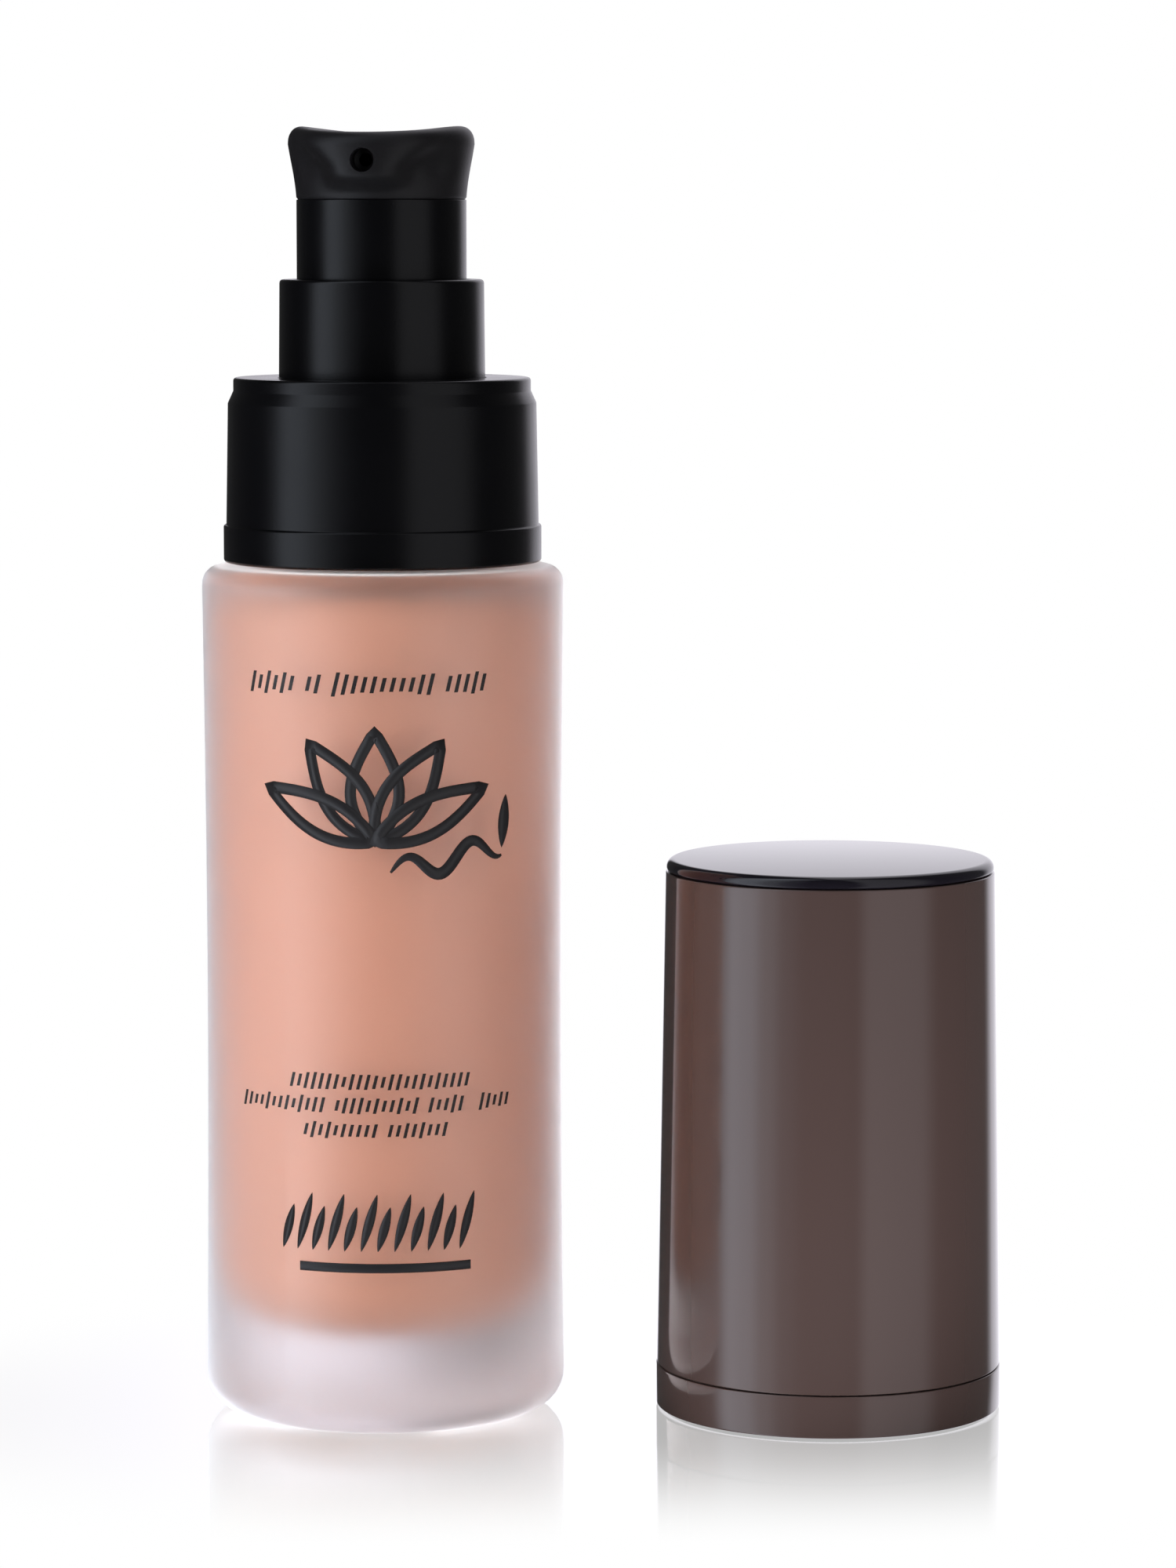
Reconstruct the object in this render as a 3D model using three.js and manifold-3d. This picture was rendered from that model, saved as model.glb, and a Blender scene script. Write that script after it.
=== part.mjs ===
// A 30 ml foundation bottle: a frosted glass cylinder with a screw-on treatment pump, and its overcap
// standing beside it. Millimetres, +Z up, origin at the centre of the glass base. The nozzle looks along
// -Y and the overcap stands at +X. Heights are measured from the surface that both stand on.
import * as THREE from "three";
import { mergeVertices } from "three/addons/utils/BufferGeometryUtils.js";
import Module from "manifold-3d";

const wasm = await Module();
wasm.setup();

// ---- Driving dimensions ----

const LARGE_SEGMENTS = 40; // round pieces that are seen from outside
const SMALL_SEGMENTS = 20; // round pieces inside the pump
const SEAM_GAP = 0.05; // between pieces that touch

const glass = {
  radius: 16.5,
  waist: 0.25, // how far the wall draws in between base and shoulder
  wall: 4.2,
  cavityTaper: 0.6, // how much narrower the cavity is at its floor than at its roof
  baseThickness: 8.0,
  heel: 3.2,
  shoulder: 77.8,
  shoulderCorner: 1.6,
  shoulderThickness: 1.8,
  innerBottomCorner: 5.5,
  innerTopCorner: 3.0,
  neckRadius: 8.75,
  boreRadius: 5.4,
  neckTop: 91.8,
  lip: 0.5,
};
const thread = {
  pitch: 3.175, // 8 turns to the inch, a 20-410 neck finish
  turns: 1.5,
  top: 89.4, // where the glass thread ends, below the neck's top
  glassRidge: 0.95, // radius of the round ridge
  closureRidge: 0.8,
  sink: 1.1, // how far each end of a ridge runs into its wall
  runOut: 0.12, // share of the ridge over which it does so
  proud: 0.05, // how far a ridge's centre line stands off its wall
};
const fill = { clearance: 0.1, tubeClearance: 0.4, housingClearance: 0.3 };
const housing = {
  radius: 4.3,
  bore: 3.5,
  flangeRadius: 8.4,
  flangeBottom: 92.6,
  flangeTop: 93.5,
  springSeat: 68.2,
  ballChamber: 1.9,
  retainer: 1.2, // opening that keeps the ball in its chamber
  inlet: 1.0,
  seatBottom: 64.1,
  tailRadius: 2.6,
  tailBottom: 58.0,
  tubeStop: 62.0,
  socketFit: 0.06, // between the dip tube and its socket
  retainerThickness: 0.8,
  coneBelow: 0.6, // the tail widens into the barrel from here below the ball seat
  coneAbove: 1.2, // to here above it
};
const dipTube = { radius: 1.6, bore: 1.0, bottom: 9.6, top: 61.9 };
const ball = { radius: 1.5, centre: 65.27 };
const spring = { wire: 0.3, radius: 2.5, bottom: 68.25, top: 77.5, turns: 6 };
const valve = { headRadius: 2.95, headBottom: 77.6, headTop: 78.7, rodRadius: 0.8, rodTop: 88.0 };
const piston = { radius: 3.42, bore: 0.95, bottom: 78.8, top: 83.9, waist: 2.9, lip: 0.8 };
const stem = { radius: 2.0, bore: 1.1, bottom: 84.0, top: 113.0 };
const chaplet = { skirt: 3.4, bottom: 89.5, bore: 2.2, flange: 5.3, flangeTop: 94.2, neck: 3.2, top: 97.5 };
const gasket = { inner: 5.2, outer: 8.4, bottom: 91.9, top: 92.5 };

const closure = { inner: 10.2, outer: 12.6, bottom: 79.2, plateBottom: 93.6, plateTop: 94.05, hole: 5.6 };
const sleeve = {
  inner: 12.8,
  bandRadius: 14.5,
  bandBottom: 78.5,
  bandTop: 81.5,
  barrelRadius: 14.25,
  barrelTopRadius: 14.05,
  barrelTop: 92.6,
  tierRadius: 13.55,
  tierBottom: 93.7,
  top: 94.9,
  plateBottom: 94.2,
  hole: 9.5,
};
const ring = { outerBottom: 9.4, outerTop: 9.3, inner: 8.05, bottom: 94.25, top: 103.8, edge: 0.3 };

const actuator = {
  sleeveRadius: 7.72,
  wall: 0.8,
  sleeveBottom: 100.5,
  seam: 111.0, // where the sleeve meets the head
  flange: 1.0,
  flangeHole: 3.4,
  socketOuter: 3.1,
  socketInner: 2.06,
  socketBottom: 103.5,
  turn: -8, // degrees that the nozzle is turned from -Y towards -X
};
const head = {
  bottom: 111.05,
  flareHeight: 115.7,
  flare: 0.75,
  flarePower: 1.43,
  rim: 117.0, // rim height at the nozzle and opposite it
  rimRounding: 1.25,
  dish: 0.75, // depth of the finger rest below the rim
  earRise: 0.6, // how much higher the rim stands at its two sides
  beak: 1.9, // how far the spout stands out
  beakFullHeight: 113.4,
  beakHalfAngle: 24,
  beakTopHalfAngle: 46,
  beakFade: 0.35, // share of the beak that is lost towards the rim
  dimple: 0.35,
  dimpleAngle: 50,
  dimpleHalfAngle: 12,
  dimpleHeight: 114.0,
  dimpleHalfHeight: 1.2,
  nozzleHeight: 114.5,
  nozzleRadius: 1.02,
  channelRadius: 0.6,
  nozzleDepth: 2.5,
};

const cap = {
  x: 41.0,
  height: 50.8,
  ringRadius: 15.9,
  ringInner: 15.2,
  ringTop: 3.85,
  shellBottom: 3.95,
  shellRadius: 15.85,
  shellTopRadius: 15.1,
  shellTop: 49.65,
  shellWall: 0.6,
  lipInner: 13.0,
  discRadius: 15.03,
  discBottom: 49.7,
  discEdge: 0.75,
  spigotRadius: 12.8,
  spigotBottom: 48.4,
  linerBottom: 0.3,
  linerTop: 48.25,
  linerRoof: 1.0,
  linerMouth: 14.6,
  linerStep: 4.2, // the mouth narrows to the barrel from here
  linerStepTop: 4.6,
  linerBarrel: 14.4,
  linerBarrelTop: 17.5,
  linerInnerTop: 13.6,
  linerGap: 0.15,
};

const finish = {
  frostedGlass: material(0xe6dcdc, 0.55),
  foundation: material(0xd59f8b, 0.6),
  satinBlack: material(0x15171a, 0.42),
  mattBlack: material(0x232124, 0.6),
  glossBlack: material(0x0c0a10, 0.08),
  glossBrown: material(0x584a46, 0.15),
  naturalPlastic: material(0xe9e7e0, 0.45),
  whitePlastic: material(0xf2f2f0, 0.4),
  rubber: material(0xd9d6cd, 0.8),
  steel: material(0xb9bcc0, 0.3, 1.0),
};

function material(color, roughness, metalness = 0) {
  return new THREE.MeshStandardMaterial({ color, roughness, metalness });
}

// ---- Geometry helpers ----

// Points of a round corner, from one angle to another in degrees.
function corner(centreRadius, centreHeight, radius, from, to, steps = 3) {
  return Array.from({ length: steps + 1 }, (_, i) => {
    const angle = THREE.MathUtils.degToRad(from + ((to - from) * i) / steps);
    return [centreRadius + radius * Math.cos(angle), centreHeight + radius * Math.sin(angle)];
  });
}

// A solid of revolution about Z from [radius, height] points that run up the outside.
// A profile that leaves the axis open is closed on itself.
function turned(profile, segments) {
  const touchesAxis = profile[0][0] === 0;
  const points = touchesAxis ? profile : [...profile, profile[0]];
  const outline = points.map(([radius, height]) => new THREE.Vector2(radius, height));
  return new THREE.LatheGeometry(outline, segments).rotateX(Math.PI / 2);
}

function tube(inner, outer, bottom, top, segments = SMALL_SEGMENTS) {
  const profile = [[inner, bottom], [outer, bottom], [outer, top], [inner, top]];
  return turned(profile, segments);
}

function toSolid(geometry) {
  const shell = geometry.clone();
  shell.deleteAttribute("normal");
  shell.deleteAttribute("uv");
  const merged = mergeVertices(shell, 1e-4);
  return new wasm.Manifold(
    new wasm.Mesh({
      numProp: 3,
      vertProperties: merged.attributes.position.array,
      triVerts: new Uint32Array(merged.index.array),
    }),
  );
}

function toGeometry(solid) {
  const mesh = solid.getMesh();
  const geometry = new THREE.BufferGeometry();
  geometry.setAttribute("position", new THREE.BufferAttribute(mesh.vertProperties, 3));
  geometry.setIndex(new THREE.BufferAttribute(mesh.triVerts, 1));
  geometry.computeVertexNormals();
  return geometry;
}

// A right-handed helix about Z whose two ends may run inwards or outwards.
class Helix extends THREE.Curve {
  constructor({ radius, bottom, pitch, turns, sink = 0 }) {
    super();
    Object.assign(this, { radius, bottom, pitch, turns, sink });
  }
  getPoint(t, target = new THREE.Vector3()) {
    const angle = 2 * Math.PI * this.turns * t;
    const fromEnd = Math.min(t, 1 - t) / thread.runOut;
    const radius = this.radius + this.sink * Math.max(0, 1 - fromEnd) ** 2;
    const height = this.bottom + this.pitch * this.turns * t;
    return target.set(radius * Math.cos(angle), radius * Math.sin(angle), height);
  }
}

// A round wire or ridge along a helix.
function coil(path, radius, stepsPerTurn, sides) {
  const section = new THREE.Shape();
  for (let i = 0; i < sides; i++) {
    const angle = (2 * Math.PI * i) / sides;
    const place = [radius * Math.cos(angle), radius * Math.sin(angle)];
    if (i === 0) section.moveTo(...place);
    else section.lineTo(...place);
  }
  section.closePath();
  const steps = Math.round(path.turns * stepsPerTurn);
  return new THREE.ExtrudeGeometry(section, { steps, extrudePath: path, bevelEnabled: false });
}

function addPart(group, name, geometry, look) {
  const mesh = new THREE.Mesh(geometry, look);
  mesh.name = name;
  group.add(mesh);
}

// ---- The glass and what it holds ----

// The rounded top of the cavity, from its roof down to the wall.
function cavityTop(radius, roof) {
  const rounding = glass.innerTopCorner;
  return corner(radius - rounding, roof - rounding, rounding, 90, 0);
}

// The rounded bottom of the cavity, from its floor up to the wall.
function cavityBottom(radius, floor) {
  const rounding = glass.innerBottomCorner;
  return corner(radius - glass.cavityTaper - rounding, floor + rounding, rounding, -90, 0);
}

function glassBottle() {
  const inner = glass.radius - glass.wall;
  const wallTop = glass.shoulder - glass.shoulderCorner;
  const wallSteps = 5;
  const wall = Array.from({ length: wallSteps - 1 }, (_, i) => {
    const share = (i + 1) / wallSteps;
    const radius = glass.radius - glass.waist * Math.sin(Math.PI * share);
    return [radius, THREE.MathUtils.lerp(glass.heel, wallTop, share)];
  });
  const roof = glass.shoulder - glass.shoulderThickness;
  const body = turned(
    [
      [0, 0],
      ...corner(glass.radius - glass.heel, glass.heel, glass.heel, -90, 0),
      ...wall,
      ...corner(glass.radius - glass.shoulderCorner, wallTop, glass.shoulderCorner, 0, 90),
      [glass.neckRadius, glass.shoulder],
      ...corner(glass.neckRadius - glass.lip, glass.neckTop - glass.lip, glass.lip, 0, 90, 2),
      [glass.boreRadius, glass.neckTop],
      [glass.boreRadius, roof],
      ...cavityTop(inner, roof),
      ...cavityBottom(inner, glass.baseThickness).reverse(),
      [0, glass.baseThickness],
    ],
    LARGE_SEGMENTS,
  );
  const ridge = coil(
    new Helix({
      radius: glass.neckRadius + thread.proud,
      bottom: thread.top - thread.pitch * thread.turns,
      pitch: thread.pitch,
      turns: thread.turns,
      sink: -thread.sink,
    }),
    thread.glassRidge,
    20,
    8,
  );
  return toGeometry(toSolid(body).add(toSolid(ridge)));
}

// The foundation stands round the pump's housing and dip tube, clear of both.
function foundationFill() {
  const radius = glass.radius - glass.wall - fill.clearance;
  const bottom = glass.baseThickness + fill.clearance;
  const level = glass.shoulder - glass.shoulderThickness - fill.clearance;
  const tubeHole = dipTube.radius + fill.tubeClearance;
  const housingHole = housing.radius + fill.housingClearance;
  const step = housing.tailBottom - fill.housingClearance;
  return turned(
    [
      [tubeHole, bottom],
      ...cavityBottom(radius, bottom),
      ...cavityTop(radius, level).reverse(),
      [housingHole, level],
      [housingHole, step],
      [tubeHole, step],
    ],
    LARGE_SEGMENTS,
  );
}

// ---- The pump's fixed pieces ----

function pumpHousing() {
  const chamberTop = housing.springSeat - housing.retainerThickness;
  const seatTop = housing.seatBottom + housing.ballChamber - housing.inlet;
  const socket = dipTube.radius + housing.socketFit;
  return turned(
    [
      [socket, housing.tailBottom],
      [housing.tailRadius, housing.tailBottom],
      [housing.tailRadius, housing.seatBottom - housing.coneBelow],
      [housing.radius, housing.seatBottom + housing.coneAbove],
      [housing.radius, housing.flangeBottom],
      [housing.flangeRadius, housing.flangeBottom],
      [housing.flangeRadius, housing.flangeTop],
      [housing.bore, housing.flangeTop],
      [housing.bore, housing.springSeat],
      [housing.retainer, housing.springSeat],
      [housing.retainer, chamberTop],
      [housing.ballChamber, chamberTop],
      [housing.ballChamber, seatTop],
      [housing.inlet, housing.seatBottom],
      [housing.inlet, housing.tubeStop],
      [socket, housing.tubeStop],
    ],
    SMALL_SEGMENTS,
  );
}

function stemGuide() {
  const flangeBottom = housing.flangeTop + SEAM_GAP;
  return turned(
    [
      [chaplet.bore, chaplet.bottom],
      [chaplet.skirt, chaplet.bottom],
      [chaplet.skirt, flangeBottom],
      [chaplet.flange, flangeBottom],
      [chaplet.flange, chaplet.flangeTop],
      [chaplet.neck, chaplet.flangeTop],
      [chaplet.neck, chaplet.top],
      [chaplet.bore, chaplet.top],
    ],
    SMALL_SEGMENTS,
  );
}

// ---- The pieces that the finger moves ----

// A soft piston that seals with a lip at each end.
function pumpPiston() {
  return turned(
    [
      [piston.bore, piston.bottom],
      [piston.radius, piston.bottom],
      [piston.radius, piston.bottom + piston.lip],
      [piston.waist, piston.bottom + 2 * piston.lip],
      [piston.waist, piston.top - 2 * piston.lip],
      [piston.radius, piston.top - piston.lip],
      [piston.radius, piston.top],
      [piston.bore, piston.top],
    ],
    SMALL_SEGMENTS,
  );
}

function valveRod() {
  return turned(
    [
      [0, valve.headBottom],
      [valve.headRadius, valve.headBottom],
      [valve.headRadius, valve.headTop],
      [valve.rodRadius, valve.headTop],
      [valve.rodRadius, valve.rodTop],
      [0, valve.rodTop],
    ],
    SMALL_SEGMENTS,
  );
}

function returnSpring() {
  const wireSpan = spring.top - spring.bottom - 2 * spring.wire;
  const path = new Helix({
    radius: spring.radius,
    bottom: spring.bottom + spring.wire,
    pitch: wireSpan / spring.turns,
    turns: spring.turns,
  });
  return coil(path, spring.wire, 14, 6);
}

function ballGeometry() {
  return new THREE.SphereGeometry(ball.radius, 16, 10).translate(0, 0, ball.centre);
}

function actuatorSleeve() {
  const inner = actuator.sleeveRadius - actuator.wall;
  return turned(
    [
      [inner, actuator.sleeveBottom],
      [actuator.sleeveRadius, actuator.sleeveBottom],
      [actuator.sleeveRadius, actuator.seam],
      [actuator.flangeHole, actuator.seam],
      [actuator.flangeHole, actuator.seam - actuator.flange],
      [inner, actuator.seam - actuator.flange],
    ],
    LARGE_SEGMENTS,
  );
}

function smooth(from, to, value) {
  return THREE.MathUtils.smoothstep(value, from, to);
}

// How far the head's wall stands out of its round shape at a height and at an angle from the nozzle:
// a spout that is narrow at the seam and as wide as the head at the rim, with a dimple on each side.
function spoutRise(height, angleFromNozzle) {
  const up = smooth(head.beakFullHeight, head.rim, height);
  const halfAngle = THREE.MathUtils.lerp(head.beakHalfAngle, head.beakTopHalfAngle, up);
  const out = head.beak * smooth(head.bottom + 0.2, head.beakFullHeight, height);
  const level = out * (1 - head.beakFade * up);
  const spout = level * Math.exp(-((angleFromNozzle / halfAngle) ** 4));
  const beside = Math.exp(-(((angleFromNozzle - head.dimpleAngle) / head.dimpleHalfAngle) ** 2));
  const along = Math.exp(-(((height - head.dimpleHeight) / head.dimpleHalfHeight) ** 2));
  return spout - head.dimple * beside * along;
}

// The head is turned round first, then its wall is drawn out into the spout and its rim into two ears.
function actuatorHead() {
  const seamRadius = actuator.sleeveRadius;
  const flareSteps = 7;
  const wall = Array.from({ length: flareSteps + 1 }, (_, i) => {
    const share = i / flareSteps;
    const height = head.bottom + (head.flareHeight - head.bottom) * share;
    return [seamRadius + head.flare * share ** head.flarePower, height];
  });
  const rimRadius = seamRadius + head.flare;
  const rimCentre = rimRadius - head.rimRounding;
  const dishRadii = [0.72, 0.45, 0.2].map((share) => share * rimRadius);
  const profile = [
    [0, head.bottom],
    ...wall,
    ...corner(rimCentre, head.rim - head.rimRounding, head.rimRounding, 15, 90, 3),
    ...dishRadii.map((radius) => [radius, head.rim - head.dish * (1 - (radius / rimCentre) ** 2)]),
    [0, head.rim - head.dish],
  ];
  const blank = turned(profile, LARGE_SEGMENTS);
  const place = blank.attributes.position;
  const point = new THREE.Vector3();
  for (let i = 0; i < place.count; i++) {
    point.fromBufferAttribute(place, i);
    const radius = Math.hypot(point.x, point.y);
    if (radius < 1e-6) continue;
    const fromNozzle = Math.abs(THREE.MathUtils.radToDeg(Math.atan2(point.x, -point.y)));
    const share = Math.min(1, radius / rimCentre);
    const stretch = 1 + (spoutRise(point.z, fromNozzle) * share ** 3) / radius;
    const side = (point.x / radius) ** 2;
    const ear = head.earRise * side * share ** 2 * smooth(head.nozzleHeight, head.rim, point.z);
    place.setXYZ(i, point.x * stretch, point.y * stretch, point.z + ear);
  }
  const socket = turned(
    [
      [0, actuator.socketBottom],
      [actuator.socketOuter, actuator.socketBottom],
      [actuator.socketOuter, head.bottom + 0.5],
      [0, head.bottom + 0.5],
    ],
    SMALL_SEGMENTS,
  );
  const stemStop = stem.top + 2 * SEAM_GAP;
  const stemHole = turned(
    [
      [0, actuator.socketBottom - 1],
      [actuator.socketInner, actuator.socketBottom - 1],
      [actuator.socketInner, stemStop],
      [stem.bore, stemStop],
      [stem.bore, head.nozzleHeight],
      [0, head.nozzleHeight],
    ],
    SMALL_SEGMENTS,
  );
  const mouth = seamRadius + head.flare + head.beak;
  const channel = turned(
    [
      [0, 0],
      [head.channelRadius, 0],
      [head.channelRadius, mouth - head.nozzleDepth],
      [head.nozzleRadius, mouth - head.nozzleDepth],
      [head.nozzleRadius, mouth + 1],
      [0, mouth + 1],
    ],
    16,
  )
    .rotateX(Math.PI / 2)
    .translate(0, 0, head.nozzleHeight);
  const solid = toSolid(blank)
    .add(toSolid(socket))
    .subtract(toSolid(stemHole))
    .subtract(toSolid(channel));
  return toGeometry(solid);
}

// ---- The collar ----

function threadedClosure() {
  const shell = turned(
    [
      [closure.inner, closure.bottom],
      [closure.outer, closure.bottom],
      [closure.outer, closure.plateTop],
      [closure.hole, closure.plateTop],
      [closure.hole, closure.plateBottom],
      [closure.inner, closure.plateBottom],
    ],
    LARGE_SEGMENTS,
  );
  // Half a pitch below the glass thread, so that the two ridges lie between each other.
  const ridge = coil(
    new Helix({
      radius: closure.inner + thread.proud,
      bottom: thread.top - thread.pitch * (thread.turns + 0.5),
      pitch: thread.pitch,
      turns: thread.turns,
      sink: thread.sink,
    }),
    thread.closureRidge,
    20,
    8,
  );
  return toGeometry(toSolid(shell).add(toSolid(ridge)));
}

function collarSleeve() {
  const edge = 0.25;
  return turned(
    [
      [sleeve.inner, sleeve.bandBottom],
      ...corner(sleeve.bandRadius - edge, sleeve.bandBottom + edge, edge, -90, 0, 1),
      ...corner(sleeve.bandRadius - edge, sleeve.bandTop - edge, edge, 0, 90, 1),
      [sleeve.barrelRadius, sleeve.bandTop],
      [sleeve.barrelTopRadius, sleeve.barrelTop],
      [sleeve.tierRadius, sleeve.tierBottom],
      ...corner(sleeve.tierRadius - edge, sleeve.top - edge, edge, 0, 90, 1),
      [sleeve.hole, sleeve.top],
      [sleeve.hole, sleeve.plateBottom],
      [sleeve.inner, sleeve.plateBottom],
    ],
    LARGE_SEGMENTS,
  );
}

function guideRing() {
  return turned(
    [
      [ring.inner, ring.bottom],
      [ring.outerBottom, ring.bottom],
      ...corner(ring.outerTop - ring.edge, ring.top - ring.edge, ring.edge, 0, 90, 2),
      [ring.inner, ring.top],
    ],
    LARGE_SEGMENTS,
  );
}

// ---- The overcap, standing on its mouth ----

// Outer radius of the tapered shell at a height.
function shellRadius(height) {
  const share = (height - cap.shellBottom) / (cap.shellTop - cap.shellBottom);
  return THREE.MathUtils.lerp(cap.shellRadius, cap.shellTopRadius, share);
}

function capShell() {
  const underLip = cap.shellTop - cap.shellWall;
  return turned(
    [
      [cap.shellRadius - cap.shellWall, cap.shellBottom],
      [cap.shellRadius, cap.shellBottom],
      [cap.shellTopRadius, cap.shellTop],
      [cap.lipInner, cap.shellTop],
      [cap.lipInner, underLip],
      [shellRadius(underLip) - cap.shellWall, underLip],
    ],
    LARGE_SEGMENTS,
  );
}

function capTopDisc() {
  return turned(
    [
      [0, cap.spigotBottom],
      [cap.spigotRadius, cap.spigotBottom],
      [cap.spigotRadius, cap.discBottom],
      [cap.discRadius, cap.discBottom],
      ...corner(cap.discRadius - cap.discEdge, cap.height - cap.discEdge, cap.discEdge, 0, 90),
      [0, cap.height],
    ],
    LARGE_SEGMENTS,
  );
}

// The liner grips the collar: its mouth clears the collar's band and its bore narrows towards the roof.
function capLiner() {
  const inset = cap.shellWall + cap.linerGap;
  const roof = cap.linerTop - cap.linerRoof;
  return turned(
    [
      [cap.linerMouth, cap.linerBottom],
      [cap.shellRadius - inset, cap.linerBottom],
      [cap.shellRadius - inset, cap.shellBottom],
      [shellRadius(cap.linerTop) - inset, cap.linerTop],
      [0, cap.linerTop],
      [0, roof],
      [cap.linerInnerTop, roof],
      [cap.linerBarrel, cap.linerBarrelTop],
      [cap.linerBarrel, cap.linerStepTop],
      [cap.linerMouth, cap.linerStep],
    ],
    LARGE_SEGMENTS,
  );
}

// ---- Assembly ----

const bottleGroup = new THREE.Group();
addPart(bottleGroup, "glass_bottle", glassBottle(), finish.frostedGlass);
addPart(bottleGroup, "foundation_fill", foundationFill(), finish.foundation);

const pumpGroup = new THREE.Group();
addPart(pumpGroup, "pump_housing", pumpHousing(), finish.naturalPlastic);
const gasketRing = tube(gasket.inner, gasket.outer, gasket.bottom, gasket.top);
addPart(pumpGroup, "neck_gasket", gasketRing, finish.rubber);
const straw = tube(dipTube.bore, dipTube.radius, dipTube.bottom, dipTube.top, 12);
addPart(pumpGroup, "dip_tube", straw, finish.naturalPlastic);
addPart(pumpGroup, "stem_guide", stemGuide(), finish.whitePlastic);
addPart(pumpGroup, "return_spring", returnSpring(), finish.steel);
addPart(pumpGroup, "inlet_ball", ballGeometry(), finish.steel);

const stemGroup = new THREE.Group();
const stemTube = tube(stem.bore, stem.radius, stem.bottom, stem.top);
addPart(stemGroup, "piston_stem", stemTube, finish.whitePlastic);
addPart(stemGroup, "piston", pumpPiston(), finish.naturalPlastic);
addPart(stemGroup, "valve_rod", valveRod(), finish.whitePlastic);

const collarGroup = new THREE.Group();
addPart(collarGroup, "threaded_closure", threadedClosure(), finish.satinBlack);
addPart(collarGroup, "collar_sleeve", collarSleeve(), finish.satinBlack);
addPart(collarGroup, "guide_ring", guideRing(), finish.satinBlack);

const actuatorGroup = new THREE.Group();
actuatorGroup.rotation.z = THREE.MathUtils.degToRad(actuator.turn);
addPart(actuatorGroup, "actuator_head", actuatorHead(), finish.mattBlack);
addPart(actuatorGroup, "actuator_sleeve", actuatorSleeve(), finish.satinBlack);

const capGroup = new THREE.Group();
capGroup.position.x = cap.x;
addPart(capGroup, "cap_shell", capShell(), finish.glossBrown);
addPart(capGroup, "cap_top_disc", capTopDisc(), finish.glossBlack);
addPart(capGroup, "cap_liner", capLiner(), finish.mattBlack);
const footRing = tube(cap.ringInner, cap.ringRadius, 0, cap.ringTop, LARGE_SEGMENTS);
addPart(capGroup, "cap_base_ring", footRing, finish.glossBrown);

const group = new THREE.Group();
group.add(bottleGroup, pumpGroup, stemGroup, collarGroup, actuatorGroup, capGroup);

export default group;
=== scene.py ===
# %% [markdown]
# # A foundation bottle with a treatment pump
# The object is a frosted glass cylinder full of beige foundation, a black pump that screws on its neck,
# and a glossy brown overcap that stands beside it. Nearly every piece is round, so this lesson is about
# drawing outlines, turning them, and giving glass, cream and plastic a believable finish.

# %% Load the fixed frame
import math

import bpy
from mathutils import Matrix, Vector


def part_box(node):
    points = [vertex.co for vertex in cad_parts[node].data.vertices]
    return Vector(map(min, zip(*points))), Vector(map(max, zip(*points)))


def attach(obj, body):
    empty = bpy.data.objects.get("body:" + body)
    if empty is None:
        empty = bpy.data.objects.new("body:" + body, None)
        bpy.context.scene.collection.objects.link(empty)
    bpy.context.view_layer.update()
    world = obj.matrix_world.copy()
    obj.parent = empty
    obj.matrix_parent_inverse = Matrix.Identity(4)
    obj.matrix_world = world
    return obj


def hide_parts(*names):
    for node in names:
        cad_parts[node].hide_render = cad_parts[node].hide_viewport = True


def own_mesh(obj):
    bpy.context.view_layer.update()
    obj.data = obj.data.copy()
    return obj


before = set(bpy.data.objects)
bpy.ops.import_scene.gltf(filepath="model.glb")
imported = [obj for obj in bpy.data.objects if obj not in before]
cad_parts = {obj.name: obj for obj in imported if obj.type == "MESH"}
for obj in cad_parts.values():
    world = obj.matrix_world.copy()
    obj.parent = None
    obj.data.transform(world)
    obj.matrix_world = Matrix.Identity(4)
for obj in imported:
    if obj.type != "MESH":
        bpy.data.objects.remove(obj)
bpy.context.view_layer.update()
MM = 0.001
print("nodes:", len(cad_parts))

# %% [markdown]
# ## Sizes from the frame
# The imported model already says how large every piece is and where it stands. Sizes that show from
# outside are read from its boxes, in millimetres, so the fine pieces can't drift from the working ones.


# %% Read the boxes
def low(node):
    return [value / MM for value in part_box(node)[0]]


def high(node):
    return [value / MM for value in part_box(node)[1]]


glass_radius, glass_top = high("glass_bottle")[0], high("glass_bottle")[2]
neck_radius, bore_radius = 8.75, 5.4
shoulder, base_floor, wall, taper = 77.8, 8.0, 4.2, 0.6
waist, shoulder_rounding = 0.25, 1.6
cap_x = (low("cap_top_disc")[0] + high("cap_top_disc")[0]) / 2
seam = high("actuator_sleeve")[2]
print(f"glass {2 * glass_radius:.1f} x {glass_top:.1f} mm, cap axis at x = {cap_x:.1f} mm")

# %% [markdown]
# ## Turning an outline
# A potter or a lathe makes a round piece from its outline, and so does this helper. A corner of the
# outline carries the radius that rounds it, because moulded and blown edges are never knife sharp, and
# it is the small round edge that catches the light.


# %% Outline helpers
on_axis = 1e-6


def arc(centre_radius, centre_height, radius, start, end, steps=8):
    """Points of an arc, with angles in degrees."""
    turns = [math.radians(start + (end - start) * i / steps) for i in range(steps + 1)]
    return [
        Vector((centre_radius + radius * math.cos(t), centre_height + radius * math.sin(t)))
        for t in turns
    ]


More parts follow.
